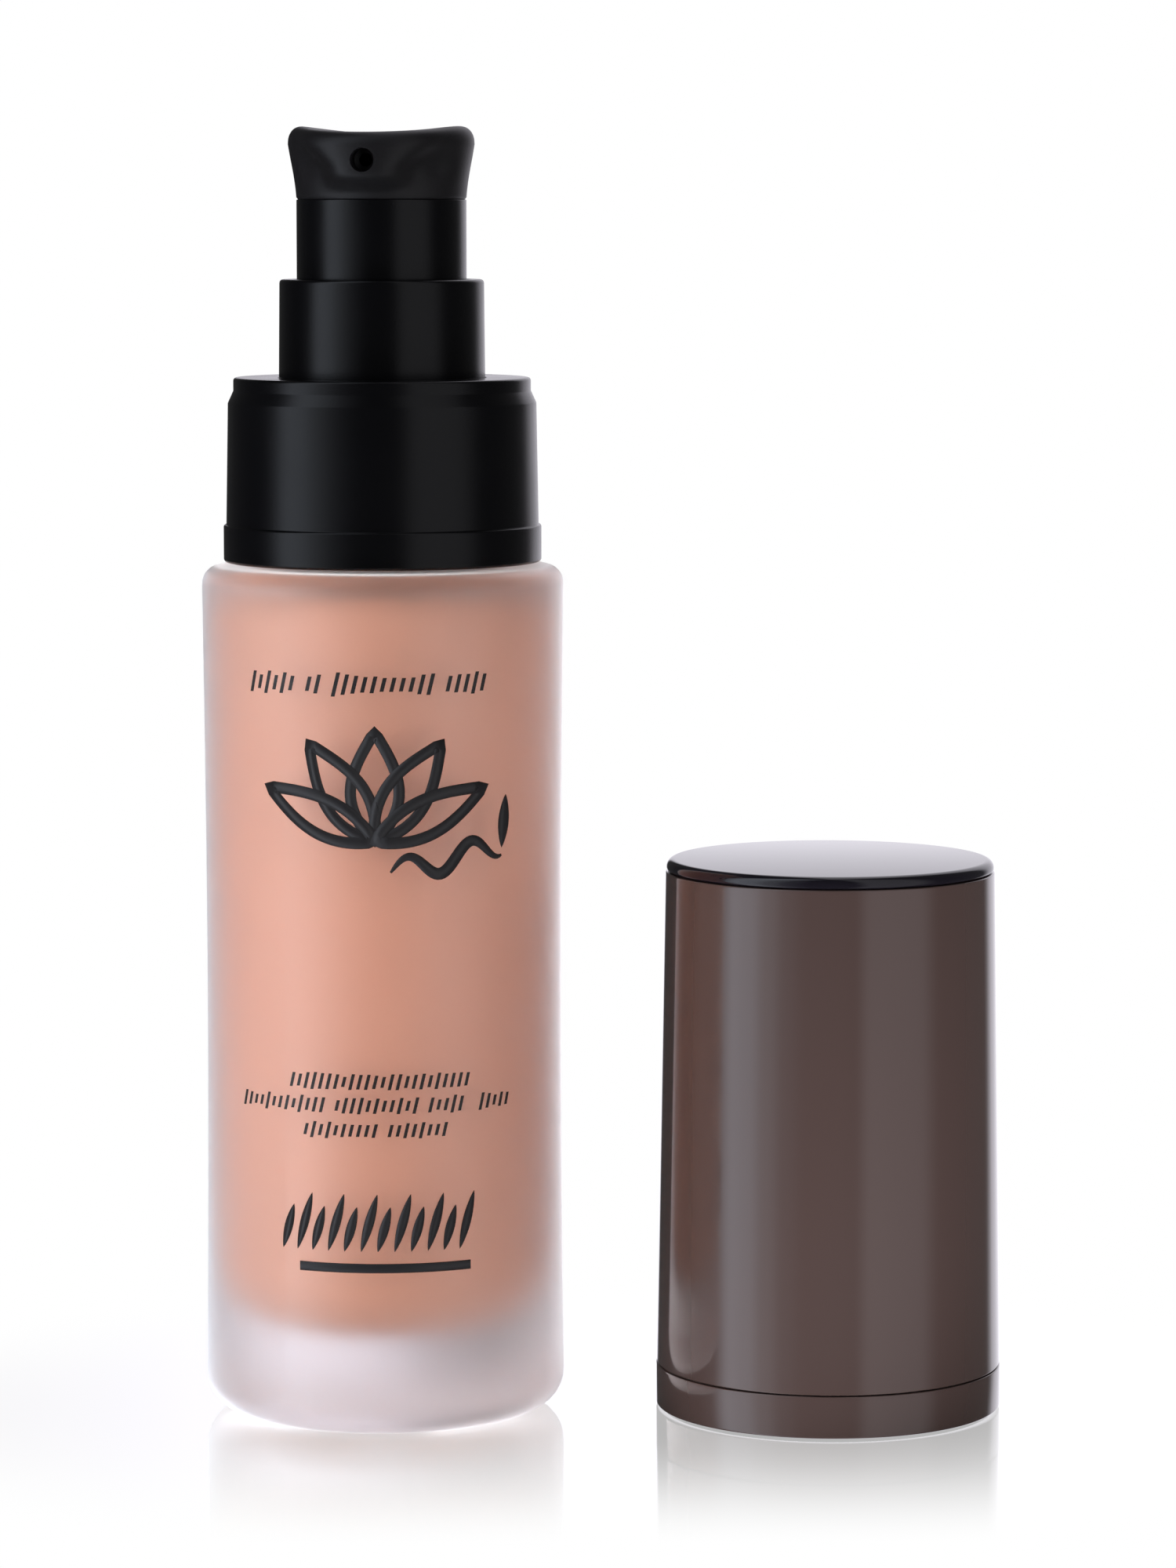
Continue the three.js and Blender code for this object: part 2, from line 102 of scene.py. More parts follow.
def rounded(corners, steps=5):
    """Outline points from (radius, height, rounding) corners."""
    points = []
    for i, (radius, height, fillet) in enumerate(corners):
        here = Vector((radius, height))
        if fillet <= 0:
            points.append(here)
            continue
        back = (Vector(corners[i - 1][:2]) - here).normalized()
        on = (Vector(corners[(i + 1) % len(corners)][:2]) - here).normalized()
        half = back.angle(on) / 2
        centre = here + (back + on).normalized() * fillet / math.sin(half)
        first = here + back * fillet / math.tan(half) - centre
        last = here + on * fillet / math.tan(half) - centre
        start = math.atan2(first.y, first.x)
        sweep = math.atan2(last.y, last.x) - start
        sweep = (sweep + math.pi) % (2 * math.pi) - math.pi
        for k in range(steps + 1):
            turn = start + sweep * k / steps
            points.append(centre + fillet * Vector((math.cos(turn), math.sin(turn))))
    return points


def divided(points, longest):
    """The same outline with long straight stretches split, ready to be bent."""
    finer = []
    for i, here in enumerate(points):
        finer.append(here)
        after = points[(i + 1) % len(points)]
        if here.x < on_axis and after.x < on_axis:
            continue
        pieces = max(1, math.ceil((after - here).length / longest))
        finer += [here.lerp(after, k / pieces) for k in range(1, pieces)]
    return finer


def turned_mesh(name, points, sides=144, shift=(0.0, 0.0), crease=35):
    """A closed mesh of revolution about Z from an outline in mm that runs up its outside."""
    verts, faces, rings = [], [], []
    for point in points:
        if point.x < on_axis:
            rings.append([len(verts)])
            verts.append((shift[0] * MM, shift[1] * MM, point.y * MM))
            continue
        rings.append(range(len(verts), len(verts) + sides))
        for k in range(sides):
            turn = 2 * math.pi * k / sides
            x = point.x * math.cos(turn) + shift[0]
            y = point.x * math.sin(turn) + shift[1]
            verts.append((x * MM, y * MM, point.y * MM))
    for i, ring in enumerate(rings):
        after = rings[(i + 1) % len(rings)]
        for k in range(sides):
            following = (k + 1) % sides
            if len(ring) == 1 and len(after) == 1:
                break
            if len(ring) == 1:
                faces.append((ring[0], after[following], after[k]))
            elif len(after) == 1:
                faces.append((ring[k], ring[following], after[0]))
            else:
                faces.append((ring[k], ring[following], after[following], after[k]))
    mesh = bpy.data.meshes.new(name)
    mesh.from_pydata(verts, [], faces)
    mesh.shade_smooth()
    mesh.set_sharp_from_angle(angle=math.radians(crease))
    return mesh


print("outline helpers ready")

# %% [markdown]
# ## Keeping pieces in the frame
# Most pieces stand for a working node. Each moves with a body and is given its material. One
# helper says all three, so that nothing is forgotten, and a second one turns a plain piece as well.


# %% Placing helpers
def place(mesh, material, body, slot, *nodes):
    """Puts a finished mesh in the scene as a piece that replaces the nodes it stands for."""
    piece = bpy.data.objects.new(mesh.name, mesh)
    bpy.context.scene.collection.objects.link(piece)
    if not mesh.materials:
        mesh.materials.append(material)
    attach(piece, body)
    if nodes:
        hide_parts(*nodes)
    print(f"{mesh.name}: {len(mesh.polygons)} faces on {body}")
    return piece


def turned_piece(name, corners, material, body, slot, node, steps=5, **turning):
    """A piece that is done as soon as its outline has been turned."""
    mesh = turned_mesh(name, rounded(corners, steps), **turning)
    return place(mesh, material, body, slot, node)


print("placing helpers ready")

# %% [markdown]
# ## Surface grain, shared by the plastics and the glass
# Moulded plastic looks alive because its gloss changes a little from place to place and its skin is
# faintly rough. Both come from one node group with named inputs, placed in each material with its own
# values.


# %% The grain group
def grain_group():
    group = bpy.data.node_groups.new("surface_grain", "ShaderNodeTree")
    inputs = (("Fine Scale", 4000.0), ("Broad Scale", 250.0), ("Low", 0.3), ("High", 0.4))
    for label, value in inputs:
        socket = group.interface.new_socket(label, in_out="INPUT", socket_type="NodeSocketFloat")
        socket.default_value = value
    for label in ("Value", "Height"):
        group.interface.new_socket(label, in_out="OUTPUT", socket_type="NodeSocketFloat")
    nodes, links = group.nodes, group.links
    entry, leave = nodes.new("NodeGroupInput"), nodes.new("NodeGroupOutput")
    coords = nodes.new("ShaderNodeTexCoord")
    fine, broad = nodes.new("ShaderNodeTexNoise"), nodes.new("ShaderNodeTexNoise")
    fine.inputs["Detail"].default_value = 3.0
    broad.inputs["Detail"].default_value = 2.0
    spread = nodes.new("ShaderNodeMapRange")
    spread.inputs["From Min"].default_value = 0.3
    spread.inputs["From Max"].default_value = 0.7
    for noise, label in ((fine, "Fine Scale"), (broad, "Broad Scale")):
        links.new(coords.outputs["Object"], noise.inputs["Vector"])
        links.new(entry.outputs[label], noise.inputs["Scale"])
    links.new(broad.outputs["Fac"], spread.inputs["Value"])
    links.new(entry.outputs["Low"], spread.inputs["To Min"])
    links.new(entry.outputs["High"], spread.inputs["To Max"])
    links.new(spread.outputs["Result"], leave.inputs["Value"])
    links.new(fine.outputs["Fac"], leave.inputs["Height"])
    return group


grain = grain_group()
print("node group:", grain.name)


# %% Material helper
def finish(name, color, roughness=(0.3, 0.4), bump=0.02, scales=(4000.0, 250.0), **sockets):
    """A Principled material whose roughness wanders between two values over a faint grain."""
    material = bpy.data.materials.new(name)
    material.use_nodes = True
    nodes, links = material.node_tree.nodes, material.node_tree.links
    shader = nodes["Principled BSDF"]
    shader.inputs["Base Color"].default_value = (*color, 1.0)
    for label, value in sockets.items():
        shader.inputs[label.replace("_", " ")].default_value = value
    skin = nodes.new("ShaderNodeGroup")
    skin.node_tree = grain
    skin.inputs["Fine Scale"].default_value = scales[0]
    skin.inputs["Broad Scale"].default_value = scales[1]
    skin.inputs["Low"].default_value, skin.inputs["High"].default_value = roughness
    relief = nodes.new("ShaderNodeBump")
    relief.inputs["Distance"].default_value = bump * MM
    links.new(skin.outputs["Value"], shader.inputs["Roughness"])
    links.new(skin.outputs["Height"], relief.inputs["Height"])
    links.new(relief.outputs["Normal"], shader.inputs["Normal"])
    material.diffuse_color = (*color, 1.0)
    return material


# %% [markdown]
# ## The finishes
# The glass is clear but etched, so it is a rough dielectric: it passes light and blurs what is
# behind it. The cream behind it is opaque. The collar is satin, the finger head matt, the overcap
# lacquered. The two numbers after the colour are the smoothest and the roughest the skin gets.

# %% Make the finishes
frosted_glass = finish(
    "frosted_glass", (0.925, 0.875, 0.89), (0.54, 0.60), 0.004, (9000.0, 90.0),
    Transmission_Weight=1.0, IOR=1.5, Sheen_Weight=1.0, Sheen_Roughness=0.38,
    Coat_Weight=0.8, Coat_Roughness=0.42,
)
foundation = finish(
    "foundation", (0.87, 0.425, 0.265), (0.35, 0.45), 0.02, (300.0, 60.0),
    Specular_IOR_Level=0.3,
)
satin_black = finish(
    "satin_black", (0.0010, 0.0010, 0.0014), (0.22, 0.26), 0.006, (6000.0, 180.0),
    Specular_IOR_Level=0.32,
)
matt_black = finish(
    "matt_black", (0.0045, 0.0040, 0.0048), (0.42, 0.50), 0.012, (5000.0, 180.0),
    Specular_IOR_Level=0.4,
)
gloss_black = finish(
    "gloss_black", (0.006, 0.005, 0.008), (0.05, 0.07), 0.001, (900.0, 60.0),
    Coat_Weight=0.13, Coat_Roughness=0.02,
)
gloss_brown = finish(
    "gloss_brown", (0.056, 0.036, 0.032), (0.10, 0.13), 0.001, (900.0, 60.0),
    Coat_Weight=0.6, Coat_Roughness=0.04,
)
natural_plastic = finish("natural_plastic", (0.80, 0.78, 0.72), (0.35, 0.45), 0.006)
white_plastic = finish("white_plastic", (0.88, 0.88, 0.86), (0.25, 0.32), 0.004)
gasket_foam = finish("gasket_foam", (0.72, 0.70, 0.64), (0.7, 0.85), 0.03, (9000.0, 400.0))
steel = finish("steel", (0.62, 0.63, 0.65), (0.18, 0.26), 0.002, Metallic=1.0)
ink = finish("ink", (0.012, 0.011, 0.012), (0.38, 0.48), 0.002, (3000.0, 300.0))
print("finishes:", [material.name for material in bpy.data.materials])

# %% [markdown]
# ## The camera
# It stands half a metre away, a little below the top of the pump, and looks six degrees down, which
# is why the rims of the collar bow downwards and the overcap shows its top.

# %% Camera
look_down = 6.0
eye = bpy.data.cameras.new("camera")
eye.lens = 126.0
camera = bpy.data.objects.new("camera", eye)
camera.location = (0.01875, -0.501, 0.1103)
camera.rotation_euler = (math.radians(90.0 - look_down), 0.0, 0.0)
bpy.context.scene.collection.objects.link(camera)
bpy.context.scene.camera = camera
print("camera lens:", eye.lens, "mm")

# %% [markdown]
# ## The glass
# The wall draws in by a quarter of a millimetre between base and shoulder, as glass may when it cools.
# The base has a shallow push-up, so that the bottle stands on a ring. The screw thread is raised from
# the neck's own skin, which keeps the glass one closed surface: a second solid inside it would show as
# a false boundary.

# %% Thread shape
pitch, turns, thread_top = 3.175, 1.5, 89.4
run_out, flank_curve = 0.18, 0.7


def ridge_height(x, y, z, top, reach, rise):
    """How far a right-handed screw ridge, which runs out at both ends, leaves a wall, in mm."""
    turn = math.atan2(y, x) % (2 * math.pi)
    tallest = 0.0
    for lap in range(2):
        along = turn / (2 * math.pi) + lap
        if along > turns:
            continue
        offset = abs(z - (top - pitch * (turns - along)))
        ends = min(1.0, min(along, turns - along) / run_out)
        flank = max(0.0, 1 - (offset / reach) ** 2) ** flank_curve
        tallest = max(tallest, rise * ends * flank)
    return tallest


print(f"thread: {turns} turns at {pitch} mm")

# %% The glass mesh
inner = glass_radius - wall
heel, inner_bottom, inner_top = 3.2, 5.5, 3.0
push_up, push_up_radius, ring_radius = 0.35, 10.0, 11.8
shoulder_wall, ridge_reach, ridge_rise = 1.8, 0.95, 1.0
roof = shoulder - shoulder_wall
waist_top = shoulder - shoulder_rounding
glass_points = rounded(
    [
        (0.0, push_up, 0),
        (push_up_radius, push_up, 3.0),
        (ring_radius, 0.0, 1.0),
        (glass_radius, 0.0, heel),
        (glass_radius, shoulder, shoulder_rounding),
        (neck_radius, shoulder, 0.8),
        (neck_radius, glass_top, 0.5),
        (bore_radius, glass_top, 0.4),
        (bore_radius, roof, 0.6),
        (inner, roof, inner_top),
        (inner - taper, base_floor, inner_bottom),
        (0.0, base_floor, 0),
    ],
    steps=8,
)
glass_mesh = turned_mesh("frosted_bottle", divided(glass_points, 0.5), sides=192)
for vertex in glass_mesh.vertices:
    x, y, z = (value / MM for value in vertex.co)
    radius = math.hypot(x, y)
    if radius > inner + 1.0 and heel < z < waist_top:
        drawn = waist * math.sin(math.pi * (z - heel) / (waist_top - heel))
    elif abs(radius - neck_radius) < 0.01 and z > shoulder + 1:
        drawn = -ridge_height(x, y, z, thread_top, ridge_reach, ridge_rise)
    else:
        continue
    vertex.co.x *= (radius - drawn) / radius
    vertex.co.y *= (radius - drawn) / radius
place(glass_mesh, frosted_glass, "bottle", "frosted_glass", "glass_bottle")

# %% [markdown]
# ## The foundation
# The cream wets the wall, so there is no air between them. Its surface is set a hair inside the glass,
# and light passes straight from one to the other, as it does in the real bottle. A hole is left in its
# middle for the pump and the straw below it.

# %% The cream mesh
wet = 0.02
level, floor_level = roof + wet, base_floor - wet
straw_hole, pump_hole, pump_foot = 2.0, 4.6, 57.6
turned_piece(
    "foundation_cream",
    [
        (straw_hole, floor_level, 0),
        (inner - taper + wet, floor_level, inner_bottom + wet),
        (inner + wet, level, inner_top + wet),
        (pump_hole, level, 0),
        (pump_hole, pump_foot, 0),
        (straw_hole, pump_foot, 0),
    ],
    foundation, "bottle", "foundation", "foundation_fill", steps=8, sides=192,
)

# %% [markdown]
# ## The collar
# The outer sleeve has a band at its foot, a skirt that tapers a little, and a narrower crown. A slim
# ring on top of it guides the actuator. Its black is satin, so each small step draws a soft line.

# %% Collar sleeve and guide ring
collar_foot, band_top, skirt_top, collar_top = 78.15, 81.5, 92.6, 94.9
sleeve_bore, band_radius, crown_radius, ring_seat = 12.8, 14.5, 13.55, 9.5
skirt_foot_radius, skirt_top_radius, top_wall = 14.25, 14.05, 0.7
turned_piece(
    "collar_cover",
    [
        (sleeve_bore, collar_foot, 0.15),
        (band_radius, collar_foot, 0.3),
        (band_radius, band_top, 0.22),
        (skirt_foot_radius, band_top + 0.05, 0.08),
        (skirt_top_radius, skirt_top, 0.3),
        (crown_radius, skirt_top + 1.1, 0.2),
        (crown_radius, collar_top, 0.3),
        (ring_seat, collar_top, 0.08),
        (ring_seat, collar_top - top_wall, 0.08),
        (sleeve_bore, collar_top - top_wall, 0.2),
    ],
    satin_black, "collar", "satin_black", "collar_sleeve", sides=192,
)
ring_bore, ring_bottom, ring_top = 8.05, 94.25, 103.8
turned_piece(
    "collar_guide_ring",
    [
        (ring_bore, ring_bottom, 0.1),
        (9.4, ring_bottom, 0.1),
        (9.3, ring_top, 0.35),
        (ring_bore, ring_top, 0.25),
    ],
    satin_black, "collar", "satin_black", "guide_ring", sides=160,
)

# %% Actuator sleeve
seam_radius, tube_bore, tube_foot, socket_hole = 7.72, 6.92, 100.5, 3.4
turned_piece(
    "actuator_skirt",
    [
        (tube_bore, tube_foot, 0.15),
        (seam_radius, tube_foot, 0.2),
        (seam_radius, seam, 0.1),
        (socket_hole, seam, 0.1),
        (socket_hole, seam - 1.0, 0.1),
        (tube_bore, seam - 1.0, 0.3),
    ],
    satin_black, "actuator", "satin_black", "actuator_sleeve", sides=160,
)

# %% [markdown]
# ## The finger head
# The head starts as a turned cup. Its wall is then drawn out into a spout that is narrow at the seam
# and as wide as the head at the rim, with a dimple on each side, and the rim rises into two ears
# beside the dished finger rest. The same rule moved the working model's head, here on a finer mesh.

# %% Head shape
head_bottom = seam
rim, rim_rounding, dish, ear_rise = 117.0, 1.25, 0.75, 0.6
flare, beak, spout_full = 0.75, 1.9, 113.4
spout_narrow, spout_wide, spout_fade = 24, 46, 0.35
dimple_angle, dimple_height, dimple_depth = 50, 114.0, 0.35
nozzle_height, nozzle_turn = 114.5, -8.0
rim_centre = seam_radius + flare - rim_rounding


def smooth(start, end, value):
    """A soft step from 0 at the start to 1 at the end."""
    share = min(1.0, max(0.0, (value - start) / (end - start)))
    return share * share * (3 - 2 * share)


def spout_rise(height, angle):
    """How far the wall stands out at a height and at an angle from the nozzle, in mm."""
    up = smooth(spout_full, rim, height)
    half = spout_narrow + (spout_wide - spout_narrow) * up
    out = beak * smooth(head_bottom + 0.2, spout_full, height) * (1 - spout_fade * up)
    across, above = (angle - dimple_angle) / 12, (height - dimple_height) / 1.2
    dimple = math.exp(-(across**2)) * math.exp(-(above**2))
    return out * math.exp(-((angle / half) ** 4)) - dimple_depth * dimple


print(f"nozzle {nozzle_height - head_bottom:.1f} mm above the seam")

# %% Head mesh
wall_steps, dish_steps, wall_top, flare_curve = 24, 16, 115.7, 1.43
wall_points = []
for i in range(1, wall_steps + 1):
    radius = seam_radius + flare * (i / wall_steps) ** flare_curve
    wall_points.append(Vector((radius, head_bottom + (wall_top - head_bottom) * i / wall_steps)))
dish_points = []
for i in range(dish_steps - 1, -1, -1):
    depth = dish * (1 - (i / dish_steps) ** 2)
    dish_points.append(Vector((rim_centre * i / dish_steps, rim - depth)))
head_points = [
    Vector((0.0, head_bottom)),
    Vector((seam_radius - 0.15, head_bottom)),
    *wall_points,
    *arc(rim_centre, rim - rim_rounding, rim_rounding, 12, 90, 12),
    *dish_points,
]
head_mesh = turned_mesh("finger_head", head_points, sides=240, crease=50)
for vertex in head_mesh.vertices:
    x, y, z = (value / MM for value in vertex.co)
    radius = math.hypot(x, y)
    if radius < on_axis:
        continue
    from_nozzle = abs(math.degrees(math.atan2(x, -y)))
    share = min(1.0, radius / rim_centre)
    stretch = 1 + spout_rise(z, from_nozzle) * share**3 / radius
    ear = ear_rise * (x / radius) ** 2 * share**2 * smooth(nozzle_height, rim, z)
    vertex.co = Vector((x * stretch, y * stretch, z + ear)) * MM
print("head vertices:", len(head_mesh.vertices))


# %% Cut the nozzle and the stem socket
def cut(mesh, *cutters, crease=35, join=()):
    """The mesh with the cutters taken away and the joined meshes added."""
    base = bpy.data.objects.new(mesh.name + "_blank", mesh)
    bpy.context.scene.collection.objects.link(base)
    helpers = []
    for other, operation in [*((m, "UNION") for m in join), *((m, "DIFFERENCE") for m in cutters)]:
        helper = bpy.data.objects.new("helper", other)
        bpy.context.scene.collection.objects.link(helper)
        helpers.append(helper)
        step = base.modifiers.new("cut", "BOOLEAN")
        step.operation, step.solver, step.object = operation, "EXACT", helper
    ready = base.evaluated_get(bpy.context.evaluated_depsgraph_get())
    result = bpy.data.meshes.new_from_object(ready)
    name = mesh.name
    for spare in (base, *helpers):
        bpy.data.objects.remove(spare)
    mesh.name = name + "_blank"
    result.name = name
    result.shade_smooth()
    result.set_sharp_from_angle(angle=math.radians(crease))
    return result


mouth = seam_radius + flare + beak
channel_start, channel_radius, nozzle_radius, past_mouth = 1.0, 0.6, 1.0, 0.6
channel_points = [
    Vector((0.0, channel_start)),
    Vector((channel_radius, channel_start)),
    Vector((channel_radius, mouth - 2.5)),
    Vector((nozzle_radius, mouth - 2.3)),
    Vector((1.02, mouth - 0.75)),
    Vector((1.35, mouth + past_mouth)),
    Vector((0.0, mouth + past_mouth)),
]
channel_mesh = turned_mesh("channel", channel_points, sides=48)
for vertex in channel_mesh.vertices:
    x, y, z = vertex.co
    vertex.co = (x, -z, y + nozzle_height * MM)
socket_foot, socket_top, socket_radius = 103.5, head_bottom + 0.5, 3.1
socket_points = rounded(
    [
        (0.0, socket_foot, 0),
        (socket_radius, socket_foot, 0.2),
        (socket_radius, socket_top, 0),
        (0.0, socket_top, 0),
    ]
)
below_socket, stem_stop, stem_hole, passage = 102.0, 113.1, 2.06, 1.1
bore_points = [
    Vector((0.0, below_socket)),
    Vector((stem_hole, below_socket)),
    Vector((stem_hole, stem_stop)),
    Vector((passage, stem_stop)),
    Vector((passage, nozzle_height)),
    Vector((0.0, nozzle_height)),
]
head_mesh = cut(
    head_mesh,
    turned_mesh("bore", bore_points, sides=48),
    channel_mesh,
    crease=40,
    join=[turned_mesh("socket", socket_points, sides=48)],
)
turn = math.radians(nozzle_turn)
for vertex in head_mesh.vertices:
    x, y, z = vertex.co
    vertex.co = (
        x * math.cos(turn) - y * math.sin(turn),
        x * math.sin(turn) + y * math.cos(turn),
        z,
    )
place(head_mesh, matt_black, "actuator", "matt_black", "actuator_head")

# %% [markdown]
# ## The overcap
# The shell tapers by about a degree so that it leaves its mould. A polished disc closes the top, a ring
# of the same brown edges the mouth, and a liner inside grips the collar.

# %% Overcap shell and disc
cap_axis = (cap_x, 0)
shell_top, shell_bottom = high("cap_shell")[2], low("cap_shell")[2]
shell_radius, shell_bore, shell_top_radius, shell_top_bore = 15.85, 15.25, 15.1, 14.51
lip_bore, lip = 13.0, 0.6
turned_piece(
    "overcap_shell",
    [
        (shell_bore, shell_bottom, 0.1),
        (shell_radius, shell_bottom, 0.12),
        (shell_top_radius, shell_top, 0.15),
        (lip_bore, shell_top, 0.1),
        (lip_bore, shell_top - lip, 0.1),
        (shell_top_bore, shell_top - lip, 0.2),
    ],
    gloss_brown, "cap", "gloss_brown", "cap_shell", sides=192, shift=cap_axis,
)
spigot_bottom, disc_bottom, disc_top = low("cap_top_disc")[2], 49.7, high("cap_top_disc")[2]
spigot_radius, disc_radius, disc_edge = 12.8, 15.03, 0.75
turned_piece(
    "overcap_disc",
    [
        (0.0, spigot_bottom, 0),
        (spigot_radius, spigot_bottom, 0.2),
        (spigot_radius, disc_bottom, 0.1),
        (disc_radius, disc_bottom, 0.3),
        (disc_radius, disc_top, disc_edge),
        (0.0, disc_top, 0),
    ],
    gloss_black, "cap", "gloss_black", "cap_top_disc", steps=8, sides=192, shift=cap_axis,
)

# %% Overcap ring and liner
foot_top, foot_bore, foot_radius = high("cap_base_ring")[2], 15.2, 15.9
turned_piece(
    "overcap_foot_ring",
    [
        (foot_bore, 0, 0.15),
        (foot_radius, 0, 0.18),
        (foot_radius, foot_top, 0.12),
        (foot_bore, foot_top, 0.1),
    ],
    gloss_brown, "cap", "gloss_brown", "cap_base_ring", sides=192, shift=cap_axis,
)
liner_top = high("cap_liner")[2]
liner_foot, liner_roof = 0.3, liner_top - 1.0
liner_foot_radius, liner_top_radius, liner_mouth, liner_bore = 15.1, 14.37, 14.6, 14.4
turned_piece(
    "overcap_liner",
    [
        (liner_mouth, liner_foot, 0.1),
        (liner_foot_radius, liner_foot, 0.15),
        (liner_foot_radius, 3.95, 0.0),
        (liner_top_radius, liner_top, 0.5),
        (0.0, liner_top, 0),
        (0.0, liner_roof, 0),
        (13.6, liner_roof, 0.8),
        (liner_bore, 17.5, 2.0),
        (liner_bore, 4.6, 0.2),
        (liner_mouth, 4.2, 0.2),
    ],
    matt_black, "cap", "matt_black", "cap_liner", sides=144, shift=cap_axis,
)

# %% [markdown]
# ## Letting nodes repeat things
# Ribs, wire and print are the same small shape many times over, which is what Geometry Nodes are good
# at. A few small helpers keep each tree short: they open it with named inputs, place a sum or a vector,
# end it, and run it on a start shape to hand back a plain mesh.


# %% Node tree helpers
def fed(tree, node, *values):
    """Fills a node's inputs in order, from numbers or sockets, and gives back its first output."""
    for socket, value in zip(node.inputs, values):
        if isinstance(value, (int, float)):
            socket.default_value = value
        else:
            tree.links.new(value, socket)
    return node.outputs[0]


def sum_node(tree, operation, *values):
    node = tree.nodes.new("ShaderNodeMath")
    node.operation = operation
    return fed(tree, node, *values)


def vector_node(tree, x=0.0, y=0.0, z=0.0):
    return fed(tree, tree.nodes.new("ShaderNodeCombineXYZ"), x, y, z)


def new_tree(name, *inputs):
    """A geometry node tree with named inputs, its input node's sockets and its output socket."""
    tree = bpy.data.node_groups.new(name, "GeometryNodeTree")
    tree.interface.new_socket("Geometry", in_out="INPUT", socket_type="NodeSocketGeometry")
    for label, kind, value in inputs:
        socket = tree.interface.new_socket(label, in_out="INPUT", socket_type="NodeSocket" + kind)
        if value is not None:
            socket.default_value = value
    tree.interface.new_socket("Geometry", in_out="OUTPUT", socket_type="NodeSocketGeometry")
    entry, leave = tree.nodes.new("NodeGroupInput"), tree.nodes.new("NodeGroupOutput")
    return tree, entry.outputs, leave.inputs["Geometry"]


def end_tree(tree, geometry, material, leave):
    """Every tree ends the same way: real geometry with its material."""
    real = tree.nodes.new("GeometryNodeRealizeInstances")
    dressed = tree.nodes.new("GeometryNodeSetMaterial")
    tree.links.new(geometry, real.inputs[0])
    tree.links.new(real.outputs[0], dressed.inputs["Geometry"])
    tree.links.new(material, dressed.inputs["Material"])
    tree.links.new(dressed.outputs[0], leave)


def made_by(tree, name, start=None, **sizes):
    """Runs a tree on a start shape, with its inputs set, and gives back a plain mesh."""
    base = bpy.data.objects.new(name + "_base", start or bpy.data.meshes.new(name + "_start"))
    bpy.context.scene.collection.objects.link(base)
    step = base.modifiers.new(name, "NODES")
    step.node_group = tree
    for item in tree.interface.items_tree:
        if item.in_out == "INPUT" and item.name in sizes:
            step[item.identifier] = sizes[item.name]
    ready = base.evaluated_get(bpy.context.evaluated_depsgraph_get())
    mesh = bpy.data.meshes.new_from_object(ready)
    mesh.name = name
    bpy.data.objects.remove(base)
    return mesh


print("node helpers ready")

# %% [markdown]
# ## What holds the collar and the overcap
# The screw closure is hidden in its cover and grips it with fine upright ribs. The overcap's liner has
# ribs too, which pinch the collar's band. One tree makes both rings of ribs.


# %% A ring of upright ribs
def rib_tree():
    tree, sizes, leave = new_tree(
        "rib_ring",
        ("Ribs", "Int", 60),
        ("Radius", "Float", 0.01),
        ("Width", "Float", 0.0004),
        ("Depth", "Float", 0.0003),
        ("Bottom", "Float", 0.0),
        ("Height", "Float", 0.01),
        ("Centre X", "Float", 0.0),
        ("Material", "Material", None),
    )
    nodes, links = tree.nodes, tree.links
    ring, rib = nodes.new("GeometryNodeMeshCircle"), nodes.new("GeometryNodeMeshCube")
    links.new(sizes["Ribs"], ring.inputs["Vertices"])
    links.new(sizes["Radius"], ring.inputs["Radius"])
    links.new(vector_node(tree, sizes["Depth"], sizes["Width"], sizes["Height"]), rib.inputs["Size"])
    spread = nodes.new("GeometryNodeInstanceOnPoints")
    turn = sum_node(tree, "MULTIPLY", nodes.new("GeometryNodeInputIndex").outputs[0], 2 * math.pi)
    turn = sum_node(tree, "DIVIDE", turn, sizes["Ribs"])
    links.new(ring.outputs["Mesh"], spread.inputs["Points"])
    links.new(rib.outputs["Mesh"], spread.inputs["Instance"])
    links.new(vector_node(tree, 0.0, 0.0, turn), spread.inputs["Rotation"])
    lift = nodes.new("GeometryNodeTransform")
    middle = sum_node(tree, "MULTIPLY_ADD", sizes["Height"], 0.5, sizes["Bottom"])
    links.new(spread.outputs[0], lift.inputs["Geometry"])
    links.new(vector_node(tree, sizes["Centre X"], 0.0, middle), lift.inputs["Translation"])
    end_tree(tree, lift.outputs[0], sizes["Material"], leave)
    return tree


ribs = rib_tree()
closure_radius = 12.6
knurl_mesh = made_by(
    ribs, "closure_knurl", Ribs=96, Radius=closure_radius * MM, Width=0.36 * MM,
    Depth=0.3 * MM, Bottom=79.6 * MM, Height=13.4 * MM, Material=satin_black,
)
place(knurl_mesh, satin_black, "collar", "satin_black")
grip_mesh = made_by(
    ribs, "liner_grip_ribs", Ribs=36, Radius=14.42 * MM, Width=0.5 * MM, Depth=0.24 * MM,
    Bottom=4.8 * MM, Height=12.0 * MM, Material=matt_black, **{"Centre X": cap_x * MM},
)
place(grip_mesh, matt_black, "cap", "matt_black")

